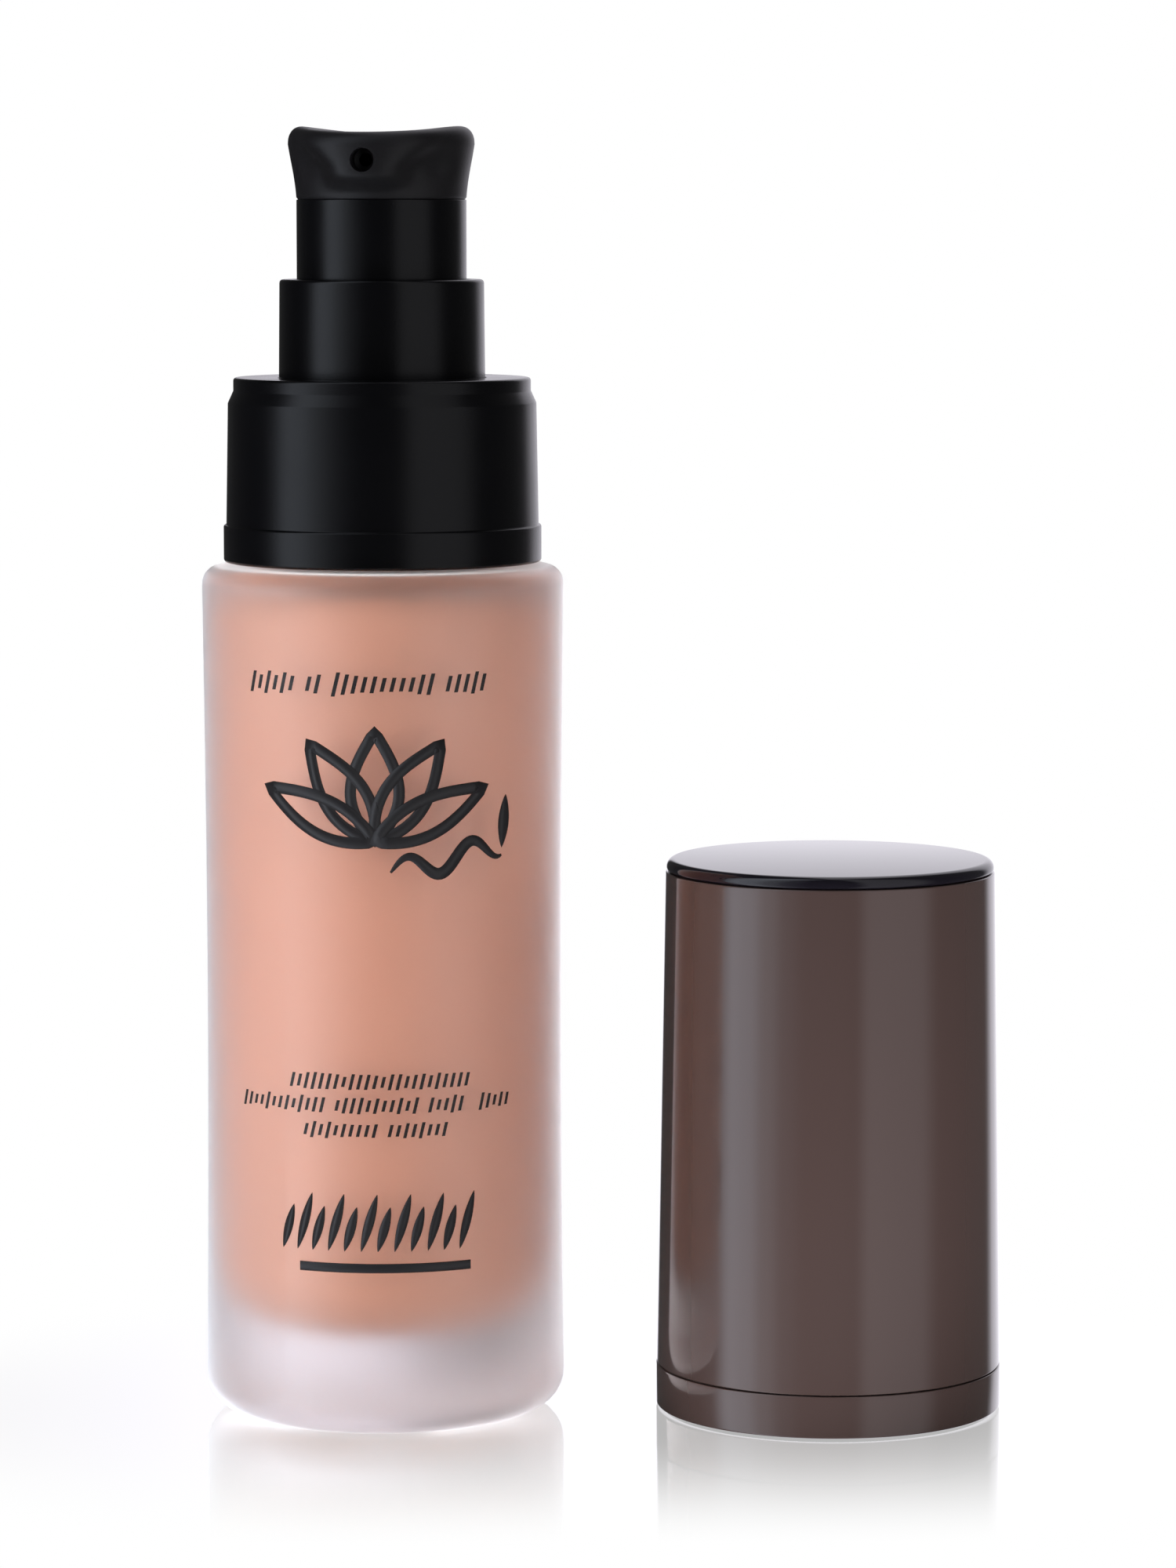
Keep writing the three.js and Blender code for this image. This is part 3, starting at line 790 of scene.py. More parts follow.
# %% The screw closure
closure_bore, closure_foot, closure_top = 10.2, 79.2, 94.05
pump_opening, closure_roof, groove_reach = 5.6, 93.6, 0.8
closure_points = rounded(
    [
        (closure_bore, closure_foot, 0.3),
        (closure_radius, closure_foot, 0.2),
        (closure_radius, closure_top, 0.3),
        (pump_opening, closure_top, 0.12),
        (pump_opening, closure_roof, 0.12),
        (closure_bore, closure_roof, 0.4),
    ]
)
closure_mesh = turned_mesh("screw_closure", divided(closure_points, 0.4), sides=160)
for vertex in closure_mesh.vertices:
    x, y, z = (value / MM for value in vertex.co)
    radius = math.hypot(x, y)
    if abs(radius - closure_bore) > 0.01:
        continue
    inwards = ridge_height(x, y, z, thread_top - pitch / 2, groove_reach, groove_reach)
    vertex.co.x *= (radius - inwards) / radius
    vertex.co.y *= (radius - inwards) / radius
place(closure_mesh, satin_black, "collar", "satin_black", "threaded_closure")

# %% [markdown]
# ## Inside the pump
# None of this shows while the pump is on the bottle, but it is what makes it a pump: a housing with a
# ball that lets the cream in, a piston on a hollow stem, a valve rod, and a spring that lifts it all.

# %% Pump pieces that stand still
barrel_radius, barrel_bore, barrel_floor = 4.3, 3.5, 68.2
flange_radius, flange_bottom, flange_top = 8.4, 92.6, 93.5
tail_radius, tail_bore, tail_foot = 2.6, 1.66, 58.0
cage_radius, cage_roof, inlet_radius, seat_radius = 1.9, 67.4, 1.2, 1.0
turned_piece(
    "pump_barrel",
    [
        (tail_bore, tail_foot, 0.15),
        (tail_radius, tail_foot, 0.25),
        (tail_radius, 63.5, 0.8),
        (barrel_radius, 65.3, 0.8),
        (barrel_radius, flange_bottom, 0.3),
        (flange_radius, flange_bottom, 0.12),
        (flange_radius, flange_top, 0.15),
        (barrel_bore, flange_top, 0.35),
        (barrel_bore, barrel_floor, 0.3),
        (inlet_radius, barrel_floor, 0.1),
        (inlet_radius, cage_roof, 0.1),
        (cage_radius, cage_roof, 0.2),
        (cage_radius, 65.0, 0.3),
        (seat_radius, 64.1, 0.2),
        (seat_radius, 62.0, 0.1),
        (tail_bore, 62.0, 0.1),
    ],
    natural_plastic, "pump", "natural_plastic", "pump_housing", sides=96,
)
bush_bore, bush_foot, bush_top, cap_bottom, cap_top = 2.2, 89.5, 97.5, 93.55, 94.2
turned_piece(
    "stem_bush",
    [
        (bush_bore, bush_foot, 0.12), (3.4, bush_foot, 0.3), (3.4, cap_bottom, 0.1),
        (5.3, cap_bottom, 0.1), (5.3, cap_top, 0.15), (3.2, cap_top, 0.3),
        (3.2, bush_top, 0.3), (bush_bore, bush_top, 0.25),
    ],
    white_plastic, "pump", "white_plastic", "stem_guide", sides=96,
)
seal_bore, seal_bottom, seal_top, seal_edge = 5.2, 91.9, 92.5, 0.15
turned_piece(
    "neck_seal",
    [
        (seal_bore, seal_bottom, seal_edge),
        (flange_radius, seal_bottom, seal_edge),
        (flange_radius, seal_top, seal_edge),
        (seal_bore, seal_top, seal_edge),
    ],
    gasket_foam, "pump", "gasket_rubber", "neck_gasket", sides=96,
)

# %% The straw and the ball
straw_bottom, straw_top, straw_bore, straw_radius, cut_rise = 9.6, 61.9, 1.0, 1.6, 1.6
straw_points = rounded(
    [
        (straw_bore, straw_bottom, 0.08),
        (straw_radius, straw_bottom, 0.1),
        (straw_radius, straw_top, 0.1),
        (straw_bore, straw_top, 0.08),
    ]
)
straw_mesh = turned_mesh("dip_straw", straw_points, sides=48)
for vertex in straw_mesh.vertices:
    if vertex.co.z < (straw_bottom + 1) * MM:
        vertex.co.z += (vertex.co.x + straw_radius * MM) / (2 * straw_radius) * cut_rise
place(straw_mesh, natural_plastic, "pump", "natural_plastic", "dip_tube")
ball_radius = (high("inlet_ball")[2] - low("inlet_ball")[2]) / 2
ball_height = (high("inlet_ball")[2] + low("inlet_ball")[2]) / 2
ball_points = arc(0.0, ball_height, ball_radius, -90, 90, 24)
ball_points[0].x = ball_points[-1].x = 0.0
place(turned_mesh("valve_ball", ball_points, sides=48), steel, "check_ball", "steel", "inlet_ball")

# %% Pump pieces that the finger moves
stem_bore, stem_radius, stem_foot, stem_top = 1.1, 2.0, 84.0, 113.0
turned_piece(
    "hollow_stem",
    [
        (stem_bore, stem_foot, 0.15),
        (stem_radius, stem_foot, 0.2),
        (stem_radius, stem_top, 0.25),
        (stem_bore, stem_top, 0.15),
    ],
    white_plastic, "stem", "white_plastic", "piston_stem", sides=64,
)
piston_bore, piston_waist, piston_end, piston_lip = 0.95, 2.9, 3.2, 3.42
piston_foot, piston_top = 78.8, 83.9
turned_piece(
    "sealing_piston",
    [
        (piston_bore, piston_foot, 0.15), (piston_end, piston_foot, 0.1),
        (piston_lip, 79.1, 0.12), (piston_lip, 79.6, 0.15),
        (piston_waist, 80.4, 0.5), (piston_waist, 82.3, 0.5),
        (piston_lip, 83.1, 0.15), (piston_lip, 83.6, 0.12),
        (piston_end, piston_top, 0.1), (piston_bore, piston_top, 0.15),
    ],
    natural_plastic, "stem", "natural_plastic", "piston", sides=96,
)
rod_radius, plate_radius, rod_foot, plate_top, rod_top = 0.8, 2.95, 77.6, 78.7, 88.0
turned_piece(
    "outlet_rod",
    [
        (0.0, rod_foot, 0), (plate_radius, rod_foot, 0.2), (plate_radius, plate_top, 0.2),
        (rod_radius, plate_top, 0.4), (rod_radius, rod_top, 0.3), (0.0, rod_top, 0),
    ],
    white_plastic, "stem", "white_plastic", "valve_rod", sides=64,
)

# %% [markdown]
# ## The return spring
# A compression spring is a helix of wire whose first and last turn lie flat, so that it stands square.
# The tree starts from a plain spiral and changes only its heights: one wire thickness over the first
# turn, the open coils in between, one more thickness over the last.


# %% Spring tree
steps_per_turn, wire_sides = 40, 12


def spring_tree():
    tree, sizes, leave = new_tree(
        "coil_spring",
        ("Turns", "Float", 8.0),
        ("Radius", "Float", 0.0025),
        ("Wire", "Float", 0.0006),
        ("Bottom", "Float", 0.0),
        ("Top", "Float", 0.01),
        ("Material", "Material", None),
    )
    nodes, links = tree.nodes, tree.links
    spiral = nodes.new("GeometryNodeCurveSpiral")
    section = nodes.new("GeometryNodeCurvePrimitiveCircle")
    spiral.inputs["Resolution"].default_value = steps_per_turn
    section.inputs["Resolution"].default_value = wire_sides
    links.new(sizes["Turns"], spiral.inputs["Rotations"])
    for end in ("Start Radius", "End Radius"):
        links.new(sizes["Radius"], spiral.inputs[end])
    links.new(sum_node(tree, "MULTIPLY", sizes["Wire"], 0.5), section.inputs["Radius"])
    share = nodes.new("GeometryNodeSplineParameter").outputs["Factor"]
    turned_so_far = sum_node(tree, "MULTIPLY", share, sizes["Turns"])
    last_turn = sum_node(tree, "SUBTRACT", sizes["Turns"], 1.0)
    rise = sum_node(tree, "SUBTRACT", sizes["Top"], sizes["Bottom"])
    rise = sum_node(tree, "SUBTRACT", rise, sum_node(tree, "MULTIPLY", sizes["Wire"], 3.0))
    height = sum_node(tree, "MULTIPLY_ADD", sizes["Wire"], 0.5, sizes["Bottom"])
    stages = (
        (0.0, 1.0, sizes["Wire"]),
        (1.0, last_turn, rise),
        (last_turn, sizes["Turns"], sizes["Wire"]),
    )
    for start, end, climb in stages:
        stage = nodes.new("ShaderNodeMapRange")
        links.new(turned_so_far, stage.inputs["Value"])
        for label, value in (("From Min", start), ("From Max", end)):
            if isinstance(value, float):
                stage.inputs[label].default_value = value
            else:
                links.new(value, stage.inputs[label])
        links.new(climb, stage.inputs["To Max"])
        height = sum_node(tree, "ADD", height, stage.outputs["Result"])
    here = nodes.new("ShaderNodeSeparateXYZ")
    links.new(nodes.new("GeometryNodeInputPosition").outputs[0], here.inputs[0])
    lift, wire = nodes.new("GeometryNodeSetPosition"), nodes.new("GeometryNodeCurveToMesh")
    raised = vector_node(tree, here.outputs["X"], here.outputs["Y"], height)
    links.new(spiral.outputs[0], lift.inputs["Geometry"])
    links.new(raised, lift.inputs["Position"])
    links.new(lift.outputs[0], wire.inputs["Curve"])
    links.new(section.outputs[0], wire.inputs["Profile Curve"])
    wire.inputs["Fill Caps"].default_value = True
    end_tree(tree, wire.outputs[0], sizes["Material"], leave)
    return tree


spring_bottom, spring_top, press_travel = 68.25, 77.5, 5.0
spring_mesh = made_by(
    spring_tree(), "coil_spring", Turns=8.0, Radius=2.5 * MM, Wire=0.6 * MM,
    Bottom=spring_bottom * MM, Top=spring_top * MM, Material=steel,
)
spring_mesh.shade_smooth()
spring = place(spring_mesh, steel, "pump", "steel", "return_spring")
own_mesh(spring)

# %% [markdown]
# ## The print on the glass
# The real bottle is screen-printed in black. A plain pattern of our own stands in for the words: rows
# of fine slanted ticks, a five-petal flower, a flourish and a leaf border. All of it is drawn flat, X
# being the distance round the glass and Y the height, and one node group wraps it on the waisted wall.


# %% A node group that wraps flat work on the wall
def wrap_tree():
    tree, sizes, leave = new_tree(
        "wrap_on_glass",
        ("Radius", "Float", glass_radius * MM),
        ("Waist", "Float", waist * MM),
        ("Bottom", "Float", heel * MM),
        ("Top", "Float", waist_top * MM),
    )
    nodes, links = tree.nodes, tree.links
    flat, bend = nodes.new("ShaderNodeSeparateXYZ"), nodes.new("GeometryNodeSetPosition")
    links.new(nodes.new("GeometryNodeInputPosition").outputs[0], flat.inputs[0])
    along = nodes.new("ShaderNodeMapRange")
    along.inputs["To Max"].default_value = math.pi
    links.new(flat.outputs["Y"], along.inputs["Value"])
    links.new(sizes["Bottom"], along.inputs["From Min"])
    links.new(sizes["Top"], along.inputs["From Max"])
    drawn = sum_node(tree, "SINE", along.outputs["Result"])
    drawn = sum_node(tree, "MULTIPLY", drawn, sizes["Waist"])
    wall_radius = sum_node(tree, "SUBTRACT", sizes["Radius"], drawn)
    reach = sum_node(tree, "ADD", wall_radius, flat.outputs["Z"])
    turn = sum_node(tree, "DIVIDE", flat.outputs["X"], sizes["Radius"])
    x = sum_node(tree, "MULTIPLY", reach, sum_node(tree, "SINE", turn))
    front = sum_node(tree, "MULTIPLY", reach, sum_node(tree, "COSINE", turn))
    y = sum_node(tree, "MULTIPLY", front, -1.0)
    links.new(sizes["Geometry"], bend.inputs["Geometry"])
    links.new(vector_node(tree, x, y, flat.outputs["Y"]), bend.inputs["Position"])
    links.new(bend.outputs[0], leave)
    return tree


wrap_on_glass = wrap_tree()
print("wrap inputs:", [item.name for item in wrap_on_glass.interface.items_tree])


# %% Rows of ticks
shortest_tick = 0.5


def tick_tree():
    tree, sizes, leave = new_tree(
        "tick_row",
        ("Width", "Float", 0.02),
        ("Height", "Float", 0.002),
        ("Foot", "Float", 0.03),
        ("Centre", "Float", 0.0),
        ("Stroke", "Float", 0.0003),
        ("Step", "Float", 0.0008),
        ("Lean", "Float", 0.25),
        ("Film", "Float", 0.00003),
        ("Gaps", "Float", 0.1),
        ("Seed", "Int", 1),
        ("Material", "Material", None),
    )
    nodes, links = tree.nodes, tree.links
    line, tick = nodes.new("GeometryNodeMeshLine"), nodes.new("GeometryNodeMeshCube")
    middle = sum_node(tree, "MULTIPLY_ADD", sizes["Height"], 0.5, sizes["Foot"])
    first = sum_node(tree, "MULTIPLY_ADD", sizes["Width"], -0.5, sizes["Centre"])
    links.new(sum_node(tree, "DIVIDE", sizes["Width"], sizes["Step"]), line.inputs["Count"])
    links.new(vector_node(tree, first, middle, 0.0), line.inputs["Start Location"])
    links.new(vector_node(tree, sizes["Step"], 0.0, 0.0), line.inputs["Offset"])
    tick_size = vector_node(tree, sizes["Stroke"], sizes["Height"], sizes["Film"])
    links.new(tick_size, tick.inputs["Size"])
    missing, long = nodes.new("FunctionNodeRandomValue"), nodes.new("FunctionNodeRandomValue")
    missing.data_type, long.data_type = "BOOLEAN", "FLOAT"
    links.new(sizes["Gaps"], missing.inputs["Probability"])
    lowest, highest = [socket for socket in long.inputs if socket.type == "VALUE"][:2]
    lowest.default_value, highest.default_value = shortest_tick, 1.0
    for chance in (missing, long):
        links.new(sizes["Seed"], chance.inputs["Seed"])
    drop = nodes.new("GeometryNodeDeleteGeometry")
    spread = nodes.new("GeometryNodeInstanceOnPoints")
    links.new(line.outputs[0], drop.inputs["Geometry"])
    links.new(next(s for s in missing.outputs if s.type == "BOOLEAN"), drop.inputs["Selection"])
    links.new(drop.outputs[0], spread.inputs["Points"])
    links.new(tick.outputs["Mesh"], spread.inputs["Instance"])
    stretch = next(s for s in long.outputs if s.type == "VALUE")
    links.new(vector_node(tree, 1.0, stretch, 1.0), spread.inputs["Scale"])
    real, slant = nodes.new("GeometryNodeRealizeInstances"), nodes.new("GeometryNodeSetPosition")
    links.new(spread.outputs[0], real.inputs[0])
    here = nodes.new("ShaderNodeSeparateXYZ")
    links.new(nodes.new("GeometryNodeInputPosition").outputs[0], here.inputs[0])
    above = sum_node(tree, "SUBTRACT", here.outputs["Y"], middle)
    shift = sum_node(tree, "MULTIPLY", above, sizes["Lean"])
    links.new(real.outputs[0], slant.inputs["Geometry"])
    links.new(vector_node(tree, shift, 0.0, 0.0), slant.inputs["Offset"])
    wrap = nodes.new("GeometryNodeGroup")
    wrap.node_tree = wrap_on_glass
    links.new(slant.outputs[0], wrap.inputs["Geometry"])
    end_tree(tree, wrap.outputs[0], sizes["Material"], leave)
    return tree


ticks = tick_tree()
# Each row: its name, then width, height, foot, centre, stroke and step in mm, and its seed.
rows = (
    ("title_ticks", 24.6, 2.2, 67.1, 0.0, 0.36, 0.86, 4),
    ("upper_ticks", 18.2, 1.6, 31.75, 0.2, 0.30, 0.72, 11),
    ("middle_ticks", 28.0, 1.6, 29.6, 0.15, 0.30, 0.72, 7),
    ("lower_ticks", 14.0, 1.6, 27.35, 0.2, 0.30, 0.72, 23),
)
for name, width, height, foot, centre, stroke, step, seed in rows:
    row_mesh = made_by(
        ticks, name, Width=width * MM, Height=height * MM, Foot=foot * MM, Centre=centre * MM,
        Stroke=stroke * MM, Step=step * MM, Seed=seed, Material=ink,
    )
    place(row_mesh, ink, "bottle", "matt_black")


# %% [markdown]
# ## Brush strokes
# The flower, the flourish and the leaves are strokes of a pen: a path whose radius says how hard the
# pen is pressed. The tree turns each path into a thin ribbon of ink, wide where the radius is large.
# Each stroke lies a little above the one before it, so that crossing strokes never share a plane.


# %% Stroke tree
def stroke_tree():
    tree, sizes, leave = new_tree(
        "pen_strokes", ("Film", "Float", 0.00003), ("Material", "Material", None)
    )
    nodes, links = tree.nodes, tree.links
    nib = nodes.new("GeometryNodeCurvePrimitiveQuadrilateral")
    ribbon = nodes.new("GeometryNodeCurveToMesh")
    nib.inputs["Width"].default_value = 2 * MM
    links.new(sizes["Film"], nib.inputs["Height"])
    upright = nodes.new("GeometryNodeSetCurveNormal")
    upright.mode = "Z_UP"
    links.new(sizes["Geometry"], upright.inputs["Curve"])
    links.new(upright.outputs[0], ribbon.inputs["Curve"])
    links.new(nib.outputs[0], ribbon.inputs["Profile Curve"])
    links.new(nodes.new("GeometryNodeInputRadius").outputs[0], ribbon.inputs["Scale"])
    ribbon.inputs["Fill Caps"].default_value = True
    wrap = nodes.new("GeometryNodeGroup")
    wrap.node_tree = wrap_on_glass
    links.new(ribbon.outputs[0], wrap.inputs["Geometry"])
    end_tree(tree, wrap.outputs[0], sizes["Material"], leave)
    return tree


strokes = stroke_tree()
layer_step = 0.006


def pen_path(name, paths):
    """A curve of strokes: each is a list of (x, y, half width) in mm, and whether it closes."""
    curve = bpy.data.curves.new(name + "_path", "CURVE")
    curve.dimensions = "3D"
    for layer, (points, closed) in enumerate(paths):
        height = (layer + 1) * layer_step * MM
        spline = curve.splines.new("POLY")
        spline.points.add(len(points) - 1)
        for target, (x, y, half) in zip(spline.points, points):
            target.co = (x * MM, y * MM, height, 1.0)
            target.radius = half
        spline.use_cyclic_u = closed
    return curve


def leaf(x, y, length, lean, half, steps=18):
    """An open stroke that swells in its middle, leaning by an angle in degrees from upright."""
    turn = math.radians(lean)
    points = []
    for i in range(steps + 1):
        share = i / steps
        swell = half * math.sin(math.pi * share) ** 0.8 + 0.02
        reach = length * share
        points.append((x + reach * math.sin(turn), y + reach * math.cos(turn), swell))
    return points, False


def petal(x, y, length, width, lean, half, steps=22):
    """The outline of a pointed petal, drawn with an even pen."""
    turn = math.radians(lean)
    points = []
    for side in (-1, 1):
        for i in range(steps):
            share = i / steps if side < 0 else 1 - i / steps
            out = side * width / 2 * math.sin(math.pi * share**0.85)
            reach = length * share
            points.append(
                (
                    x + reach * math.sin(turn) + out * math.cos(turn),
                    y + reach * math.cos(turn) - out * math.sin(turn),
                    half,
                )
            )
    return points, True


# %% Flower, flourish and leaf border
root_x, root_y, petal_pen = -0.2, 54.2, 0.52
flower = [petal(root_x, root_y, 9.8, 4.4, 0, petal_pen)]
for lean, length, width in ((35, 10.6, 3.8), (66, 11.4, 3.2)):
    flower += [petal(root_x, root_y, length, width, side * lean, petal_pen) for side in (-1, 1)]
flourish_steps, flourish_x, flourish_y, flourish_length = 48, 1.2, 51.4, 11.0
flourish = []
for i in range(flourish_steps + 1):
    share = i / flourish_steps
    wave = 2.2 * share + 1.1 * math.sin(3.6 * math.pi * share)
    pressure = 0.10 + 0.46 * math.sin(math.pi * share) ** 0.7
    flourish.append((flourish_x + flourish_length * share, flourish_y + wave, pressure))
accent = leaf(12.2, 53.2, 4.8, 6, 0.62)
border_x, border_y, border_step, border_pen = -9.2, 17.2, 1.52, 0.42
border = [
    leaf(border_x + border_step * i, border_y, 4.2 + 1.2 * (i % 2), 16, border_pen) for i in range(12)
]
bar_x, bar_y = -7.4, 15.7
bar = ([(bar_x + 0.5 * i, bar_y, border_pen) for i in range(33)], False)
drawings = (
    ("flower_mark", flower),
    ("flourish_mark", [(flourish, False), accent]),
    ("leaf_border", [*border, bar]),
)
for name, paths in drawings:
    drawing_mesh = made_by(strokes, name, start=pen_path(name, paths), Material=ink)
    place(drawing_mesh, ink, "bottle", "matt_black")

# %% [markdown]
# ## The stage
# A pale floor that mirrors the bottle faintly, and a soft studio round it. The bright left side of the
# room draws the grey streak on the overcap and the collar, and the bright room behind lights up the
# glass. The softboxes only fill in: they light the skin, but don't show as reflections.


# %% The glow of the room
# Brightness of the studio by compass direction, in degrees from -Y towards +X, as (degrees, colour).
# A ramp holds colours up to 1, so they are divided by a brighter value and multiplied back after it.
compass = [
    (-180, (1.08, 1.05, 1.14)),
    (-176, (1.00, 0.97, 1.06)),
    (-169, (0.05, 0.05, 0.05)),
    (-98, (0.03, 0.03, 0.03)),
    (-88, (0.12, 0.12, 0.13)),
    (-72, (1.40, 1.50, 1.68)),
    (-60, (1.24, 1.34, 1.50)),
    (-46, (0.66, 0.70, 0.76)),
    (-32, (0.22, 0.23, 0.25)),
    (-18, (0.05, 0.05, 0.05)),
    (14, (0.05, 0.05, 0.05)),
    (27, (0.48, 0.48, 0.50)),
    (60, (0.44, 0.44, 0.46)),
    (80, (0.05, 0.05, 0.05)),
    (132, (0.08, 0.08, 0.08)),
    (148, (1.00, 0.97, 1.06)),
    (180, (1.08, 1.05, 1.14)),
]
brightest = 2.0


def link_all(links, *pairs):
    """Joins each output to its input."""
    for start, end in pairs:
        links.new(start, end)


def glow_group():
    """A node group that turns a direction into the room's colour there."""
    group = bpy.data.node_groups.new("room_glow", "ShaderNodeTree")
    group.interface.new_socket("Direction", in_out="INPUT", socket_type="NodeSocketVector")
    group.interface.new_socket("Color", in_out="OUTPUT", socket_type="NodeSocketColor")
    nodes, links = group.nodes, group.links
    entry, leave = nodes.new("NodeGroupInput"), nodes.new("NodeGroupOutput")
    parts = nodes.new("ShaderNodeSeparateXYZ")
    forward, heading = nodes.new("ShaderNodeMath"), nodes.new("ShaderNodeMath")
    forward.operation, heading.operation = "MULTIPLY", "ARCTAN2"
    forward.inputs[1].default_value = -1.0
    turn = nodes.new("ShaderNodeMapRange")
    turn.inputs["From Min"].default_value = -math.pi
    turn.inputs["From Max"].default_value = math.pi
    ramp = nodes.new("ShaderNodeValToRGB")
    ramp.color_ramp.interpolation = "EASE"
    steps = ramp.color_ramp.elements
    while len(steps) < len(compass):
        steps.new(0.5)
    for step, (degrees, color) in zip(steps, compass):
        step.position = (degrees + 180) / 360
        step.color = (*(value / brightest for value in color), 1.0)
    scale = nodes.new("ShaderNodeVectorMath")
    scale.operation = "SCALE"
    scale.inputs["Scale"].default_value = brightest
    link_all(
        links,
        (entry.outputs["Direction"], parts.inputs[0]),
        (parts.outputs["Y"], forward.inputs[0]),
        (parts.outputs["X"], heading.inputs[0]),
        (forward.outputs[0], heading.inputs[1]),
        (heading.outputs[0], turn.inputs["Value"]),
        (turn.outputs["Result"], ramp.inputs[0]),
        (ramp.outputs["Color"], scale.inputs[0]),
        (scale.outputs[0], leave.inputs["Color"]),
    )
    return group


glow = glow_group()
print("compass points:", len(compass))


# %% Floor
# The pool is painted light. For every ray but the camera's, the floor glows up to nine times brighter
# in front of the bottle, which lights its foot and lower front.
pool_centre, pool_glow, pool_inner, pool_outer = (0.03, -0.09, 0.0), 9.0, 0.04, 0.26
polish, polish_blur, polish_inner, polish_outer = 0.55, 0.06, 0.012, 0.055
floor_reach, floor_gap = 8.0, 0.0002


def set_range(node, *values):
    """The four ends of a Map Range node: where it reads from and what it gives out."""
    for label, value in zip(("From Min", "From Max", "To Min", "To Max"), values):
        node.inputs[label].default_value = value


def floor_material():
    """White to the camera. For other rays it glows with painted light: the room's colour, brightened
    into a painted pool of light in front of the bottle. Clear to mirror rays, polished nearby.
    """
    material = bpy.data.materials.new("pale_floor")
    material.use_nodes = True
    nodes, links = material.node_tree.nodes, material.node_tree.links
    nodes.clear()
    out = nodes.new("ShaderNodeOutputMaterial")
    ray, coords = nodes.new("ShaderNodeLightPath"), nodes.new("ShaderNodeTexCoord")
    room_color = nodes.new("ShaderNodeGroup")
    room_color.node_tree = glow
    pool, lifted = nodes.new("ShaderNodeMapRange"), nodes.new("ShaderNodeVectorMath")
    pool.interpolation_type = "SMOOTHSTEP"
    set_range(pool, pool_inner, pool_outer, pool_glow, 1.0)
    lifted.operation = "SCALE"
    from_pool = nodes.new("ShaderNodeVectorMath")
    from_pool.operation = "DISTANCE"
    from_pool.inputs[1].default_value = pool_centre
    seen = nodes.new("ShaderNodeMix")
    seen.data_type = "RGBA"
    color_a = next(s for s in seen.inputs if s.name == "A" and s.type == "RGBA")
    color_b = next(s for s in seen.inputs if s.name == "B" and s.type == "RGBA")
    color_b.default_value = (1.0, 1.0, 1.0, 1.0)
    color_out = next(s for s in seen.outputs if s.type == "RGBA")
    pale = nodes.new("ShaderNodeEmission")
    mirror = nodes.new("ShaderNodeBsdfGlossy")
    mirror.inputs["Color"].default_value = (1.0, 1.0, 1.0, 1.0)
    mirror.inputs["Roughness"].default_value = polish_blur
    parts, beside = nodes.new("ShaderNodeSeparateXYZ"), nodes.new("ShaderNodeClamp")
    beside.inputs["Max"].default_value = cap_x * MM
    away = nodes.new("ShaderNodeVectorMath")
    away.operation = "DISTANCE"
    nearest = nodes.new("ShaderNodeCombineXYZ")
    fade = nodes.new("ShaderNodeMapRange")
    fade.interpolation_type = "SMOOTHSTEP"
    set_range(fade, polish_inner, polish_outer, polish, 0.0)
    blend, passing = nodes.new("ShaderNodeMixShader"), nodes.new("ShaderNodeMixShader")
    clear = nodes.new("ShaderNodeBsdfTransparent")
    link_all(
        links,
        (coords.outputs["Object"], room_color.inputs["Direction"]),
        (ray.outputs["Is Camera Ray"], seen.inputs["Factor"]),
        (room_color.outputs["Color"], lifted.inputs[0]),
        (coords.outputs["Object"], from_pool.inputs[0]),
        (from_pool.outputs["Value"], pool.inputs["Value"]),
        (pool.outputs["Result"], lifted.inputs["Scale"]),
        (lifted.outputs[0], color_a),
        (color_out, pale.inputs["Color"]),
        (coords.outputs["Object"], parts.inputs[0]),
        (parts.outputs["X"], beside.inputs["Value"]),
        (beside.outputs[0], nearest.inputs["X"]),
        (coords.outputs["Object"], away.inputs[0]),
        (nearest.outputs[0], away.inputs[1]),
        (away.outputs["Value"], fade.inputs["Value"]),
        (fade.outputs["Result"], blend.inputs[0]),
        (pale.outputs[0], blend.inputs[1]),
        (mirror.outputs[0], blend.inputs[2]),
        (ray.outputs["Is Glossy Ray"], passing.inputs[0]),
        (blend.outputs[0], passing.inputs[1]),
        (clear.outputs[0], passing.inputs[2]),
        (passing.outputs[0], out.inputs["Surface"]),
    )
    return material


floor_mesh = bpy.data.meshes.new("floor")
corners = [(floor_reach * x, floor_reach * y, 0) for x, y in ((-1, -1), (1, -1), (1, 1), (-1, 1))]
floor_mesh.from_pydata(corners, [], [(0, 1, 2, 3)])
floor_mesh.materials.append(floor_material())
floor = bpy.data.objects.new("floor", floor_mesh)
bpy.context.scene.collection.objects.link(floor)
floor.location.z = -floor_gap
print(f"floor: {2 * floor_reach:.0f} m wide")


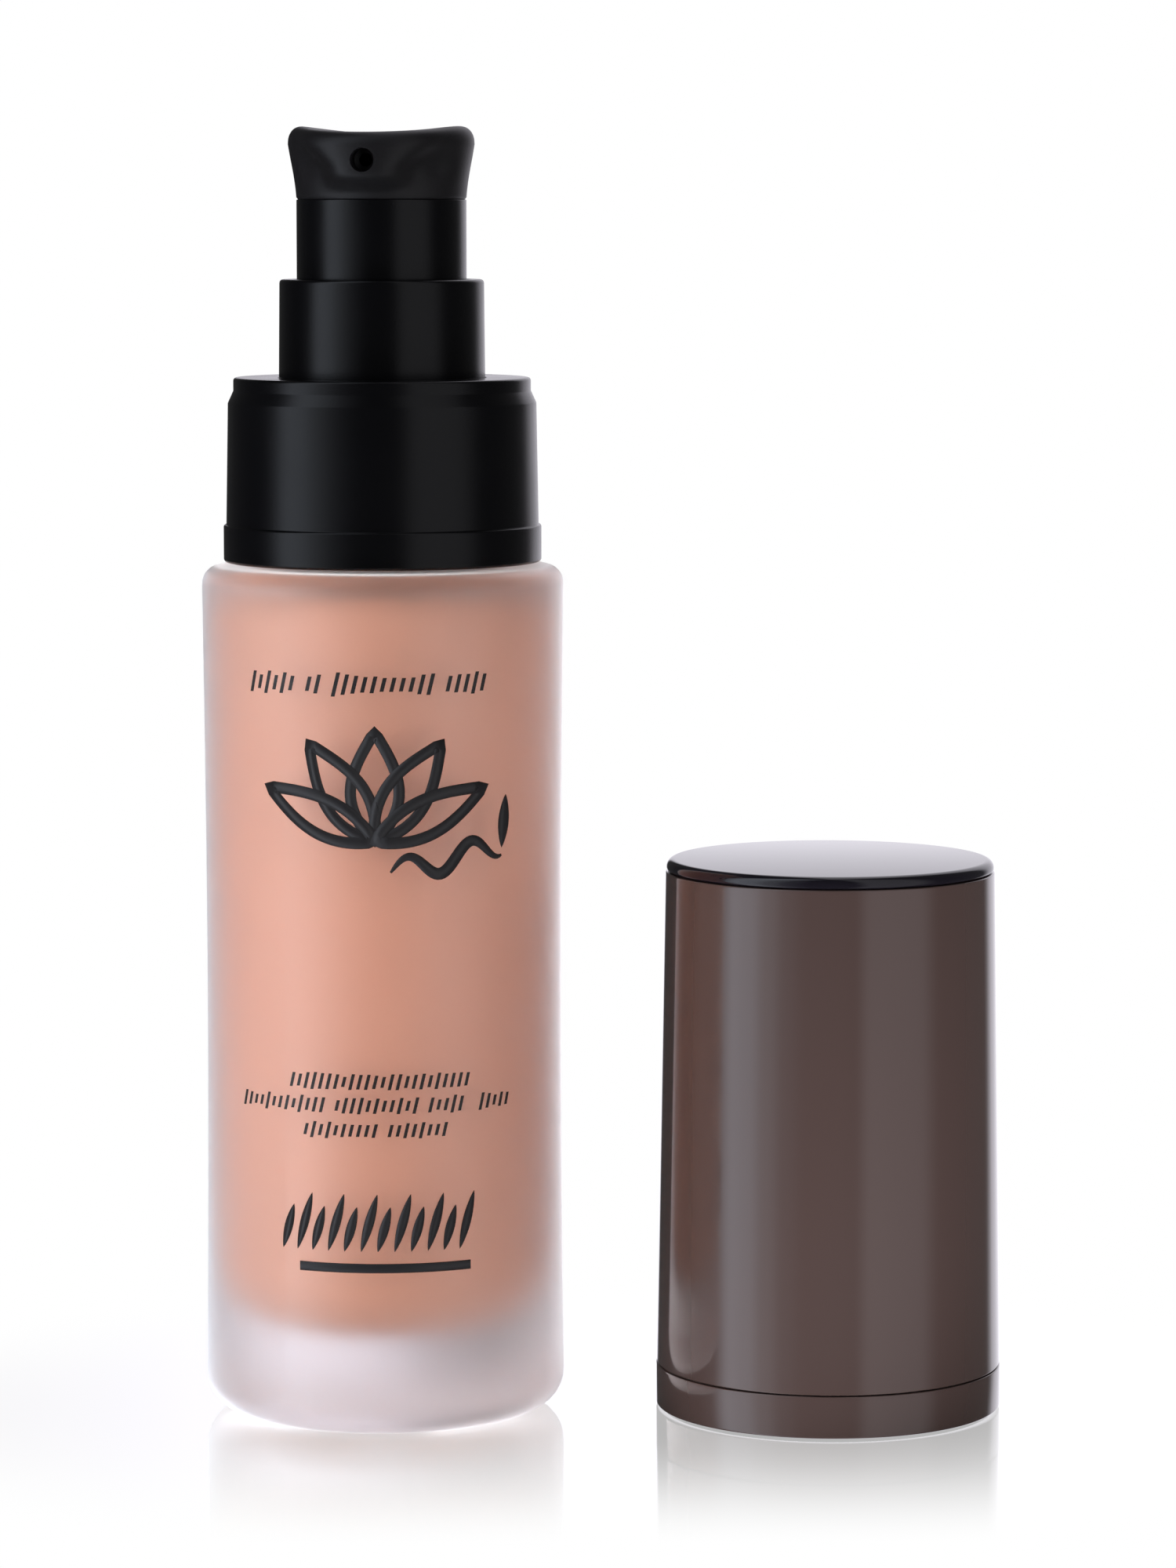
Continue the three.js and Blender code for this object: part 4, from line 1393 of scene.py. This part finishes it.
# %% Room light
def room():
    """White to the camera and the compass glow to every other ray."""
    world = bpy.data.worlds.new("studio")
    bpy.context.scene.world = world
    world.use_nodes = True
    nodes, links = world.node_tree.nodes, world.node_tree.links
    around, white = nodes["Background"], nodes.new("ShaderNodeBackground")
    white.inputs["Color"].default_value = (1.0, 1.0, 1.0, 1.0)
    direction, ray = nodes.new("ShaderNodeTexCoord"), nodes.new("ShaderNodeLightPath")
    room_color = nodes.new("ShaderNodeGroup")
    room_color.node_tree = glow
    choose = nodes.new("ShaderNodeMixShader")
    link_all(
        links,
        (direction.outputs["Generated"], room_color.inputs["Direction"]),
        (room_color.outputs["Color"], around.inputs["Color"]),
        (ray.outputs["Is Camera Ray"], choose.inputs[0]),
        (around.outputs[0], choose.inputs[1]),
        (white.outputs[0], choose.inputs[2]),
        (choose.outputs[0], nodes["World Output"].inputs["Surface"]),
    )


room()
print("world:", bpy.context.scene.world.name)

# %% Softboxes
light_aim, light_distance = Vector((0.02, 0.0, 0.06)), 1.0


def softbox(name, azimuth, elevation, size, power):
    """An area light by compass direction and height angle in degrees, aimed at the bottle."""
    data = bpy.data.lights.new(name, "AREA")
    data.shape = "RECTANGLE"
    data.size, data.size_y = size
    data.energy = power
    light = bpy.data.objects.new(name, data)
    turn, rise = math.radians(azimuth), math.radians(elevation)
    level_part = math.cos(rise)
    away = Vector((math.sin(turn) * level_part, -math.cos(turn) * level_part, math.sin(rise)))
    light.location = light_aim + light_distance * away
    light.rotation_euler = away.to_track_quat("Z", "Y").to_euler()
    light.visible_camera = light.visible_glossy = False
    bpy.context.scene.collection.objects.link(light)


softbox("front", -48, 3, (0.7, 0.4), 4.2)
softbox("right_front", 54, 2, (0.6, 0.4), 4.2)
softbox("left", -85, 5, (0.6, 0.5), 6.0)
softbox("overhead_back", 160, 60, (0.6, 0.6), 2.6)
softbox("right", 110, 5, (0.6, 0.5), 1.0)
print("softboxes:", len(bpy.data.lights))
bpy.context.scene.view_settings.view_transform = "Standard"
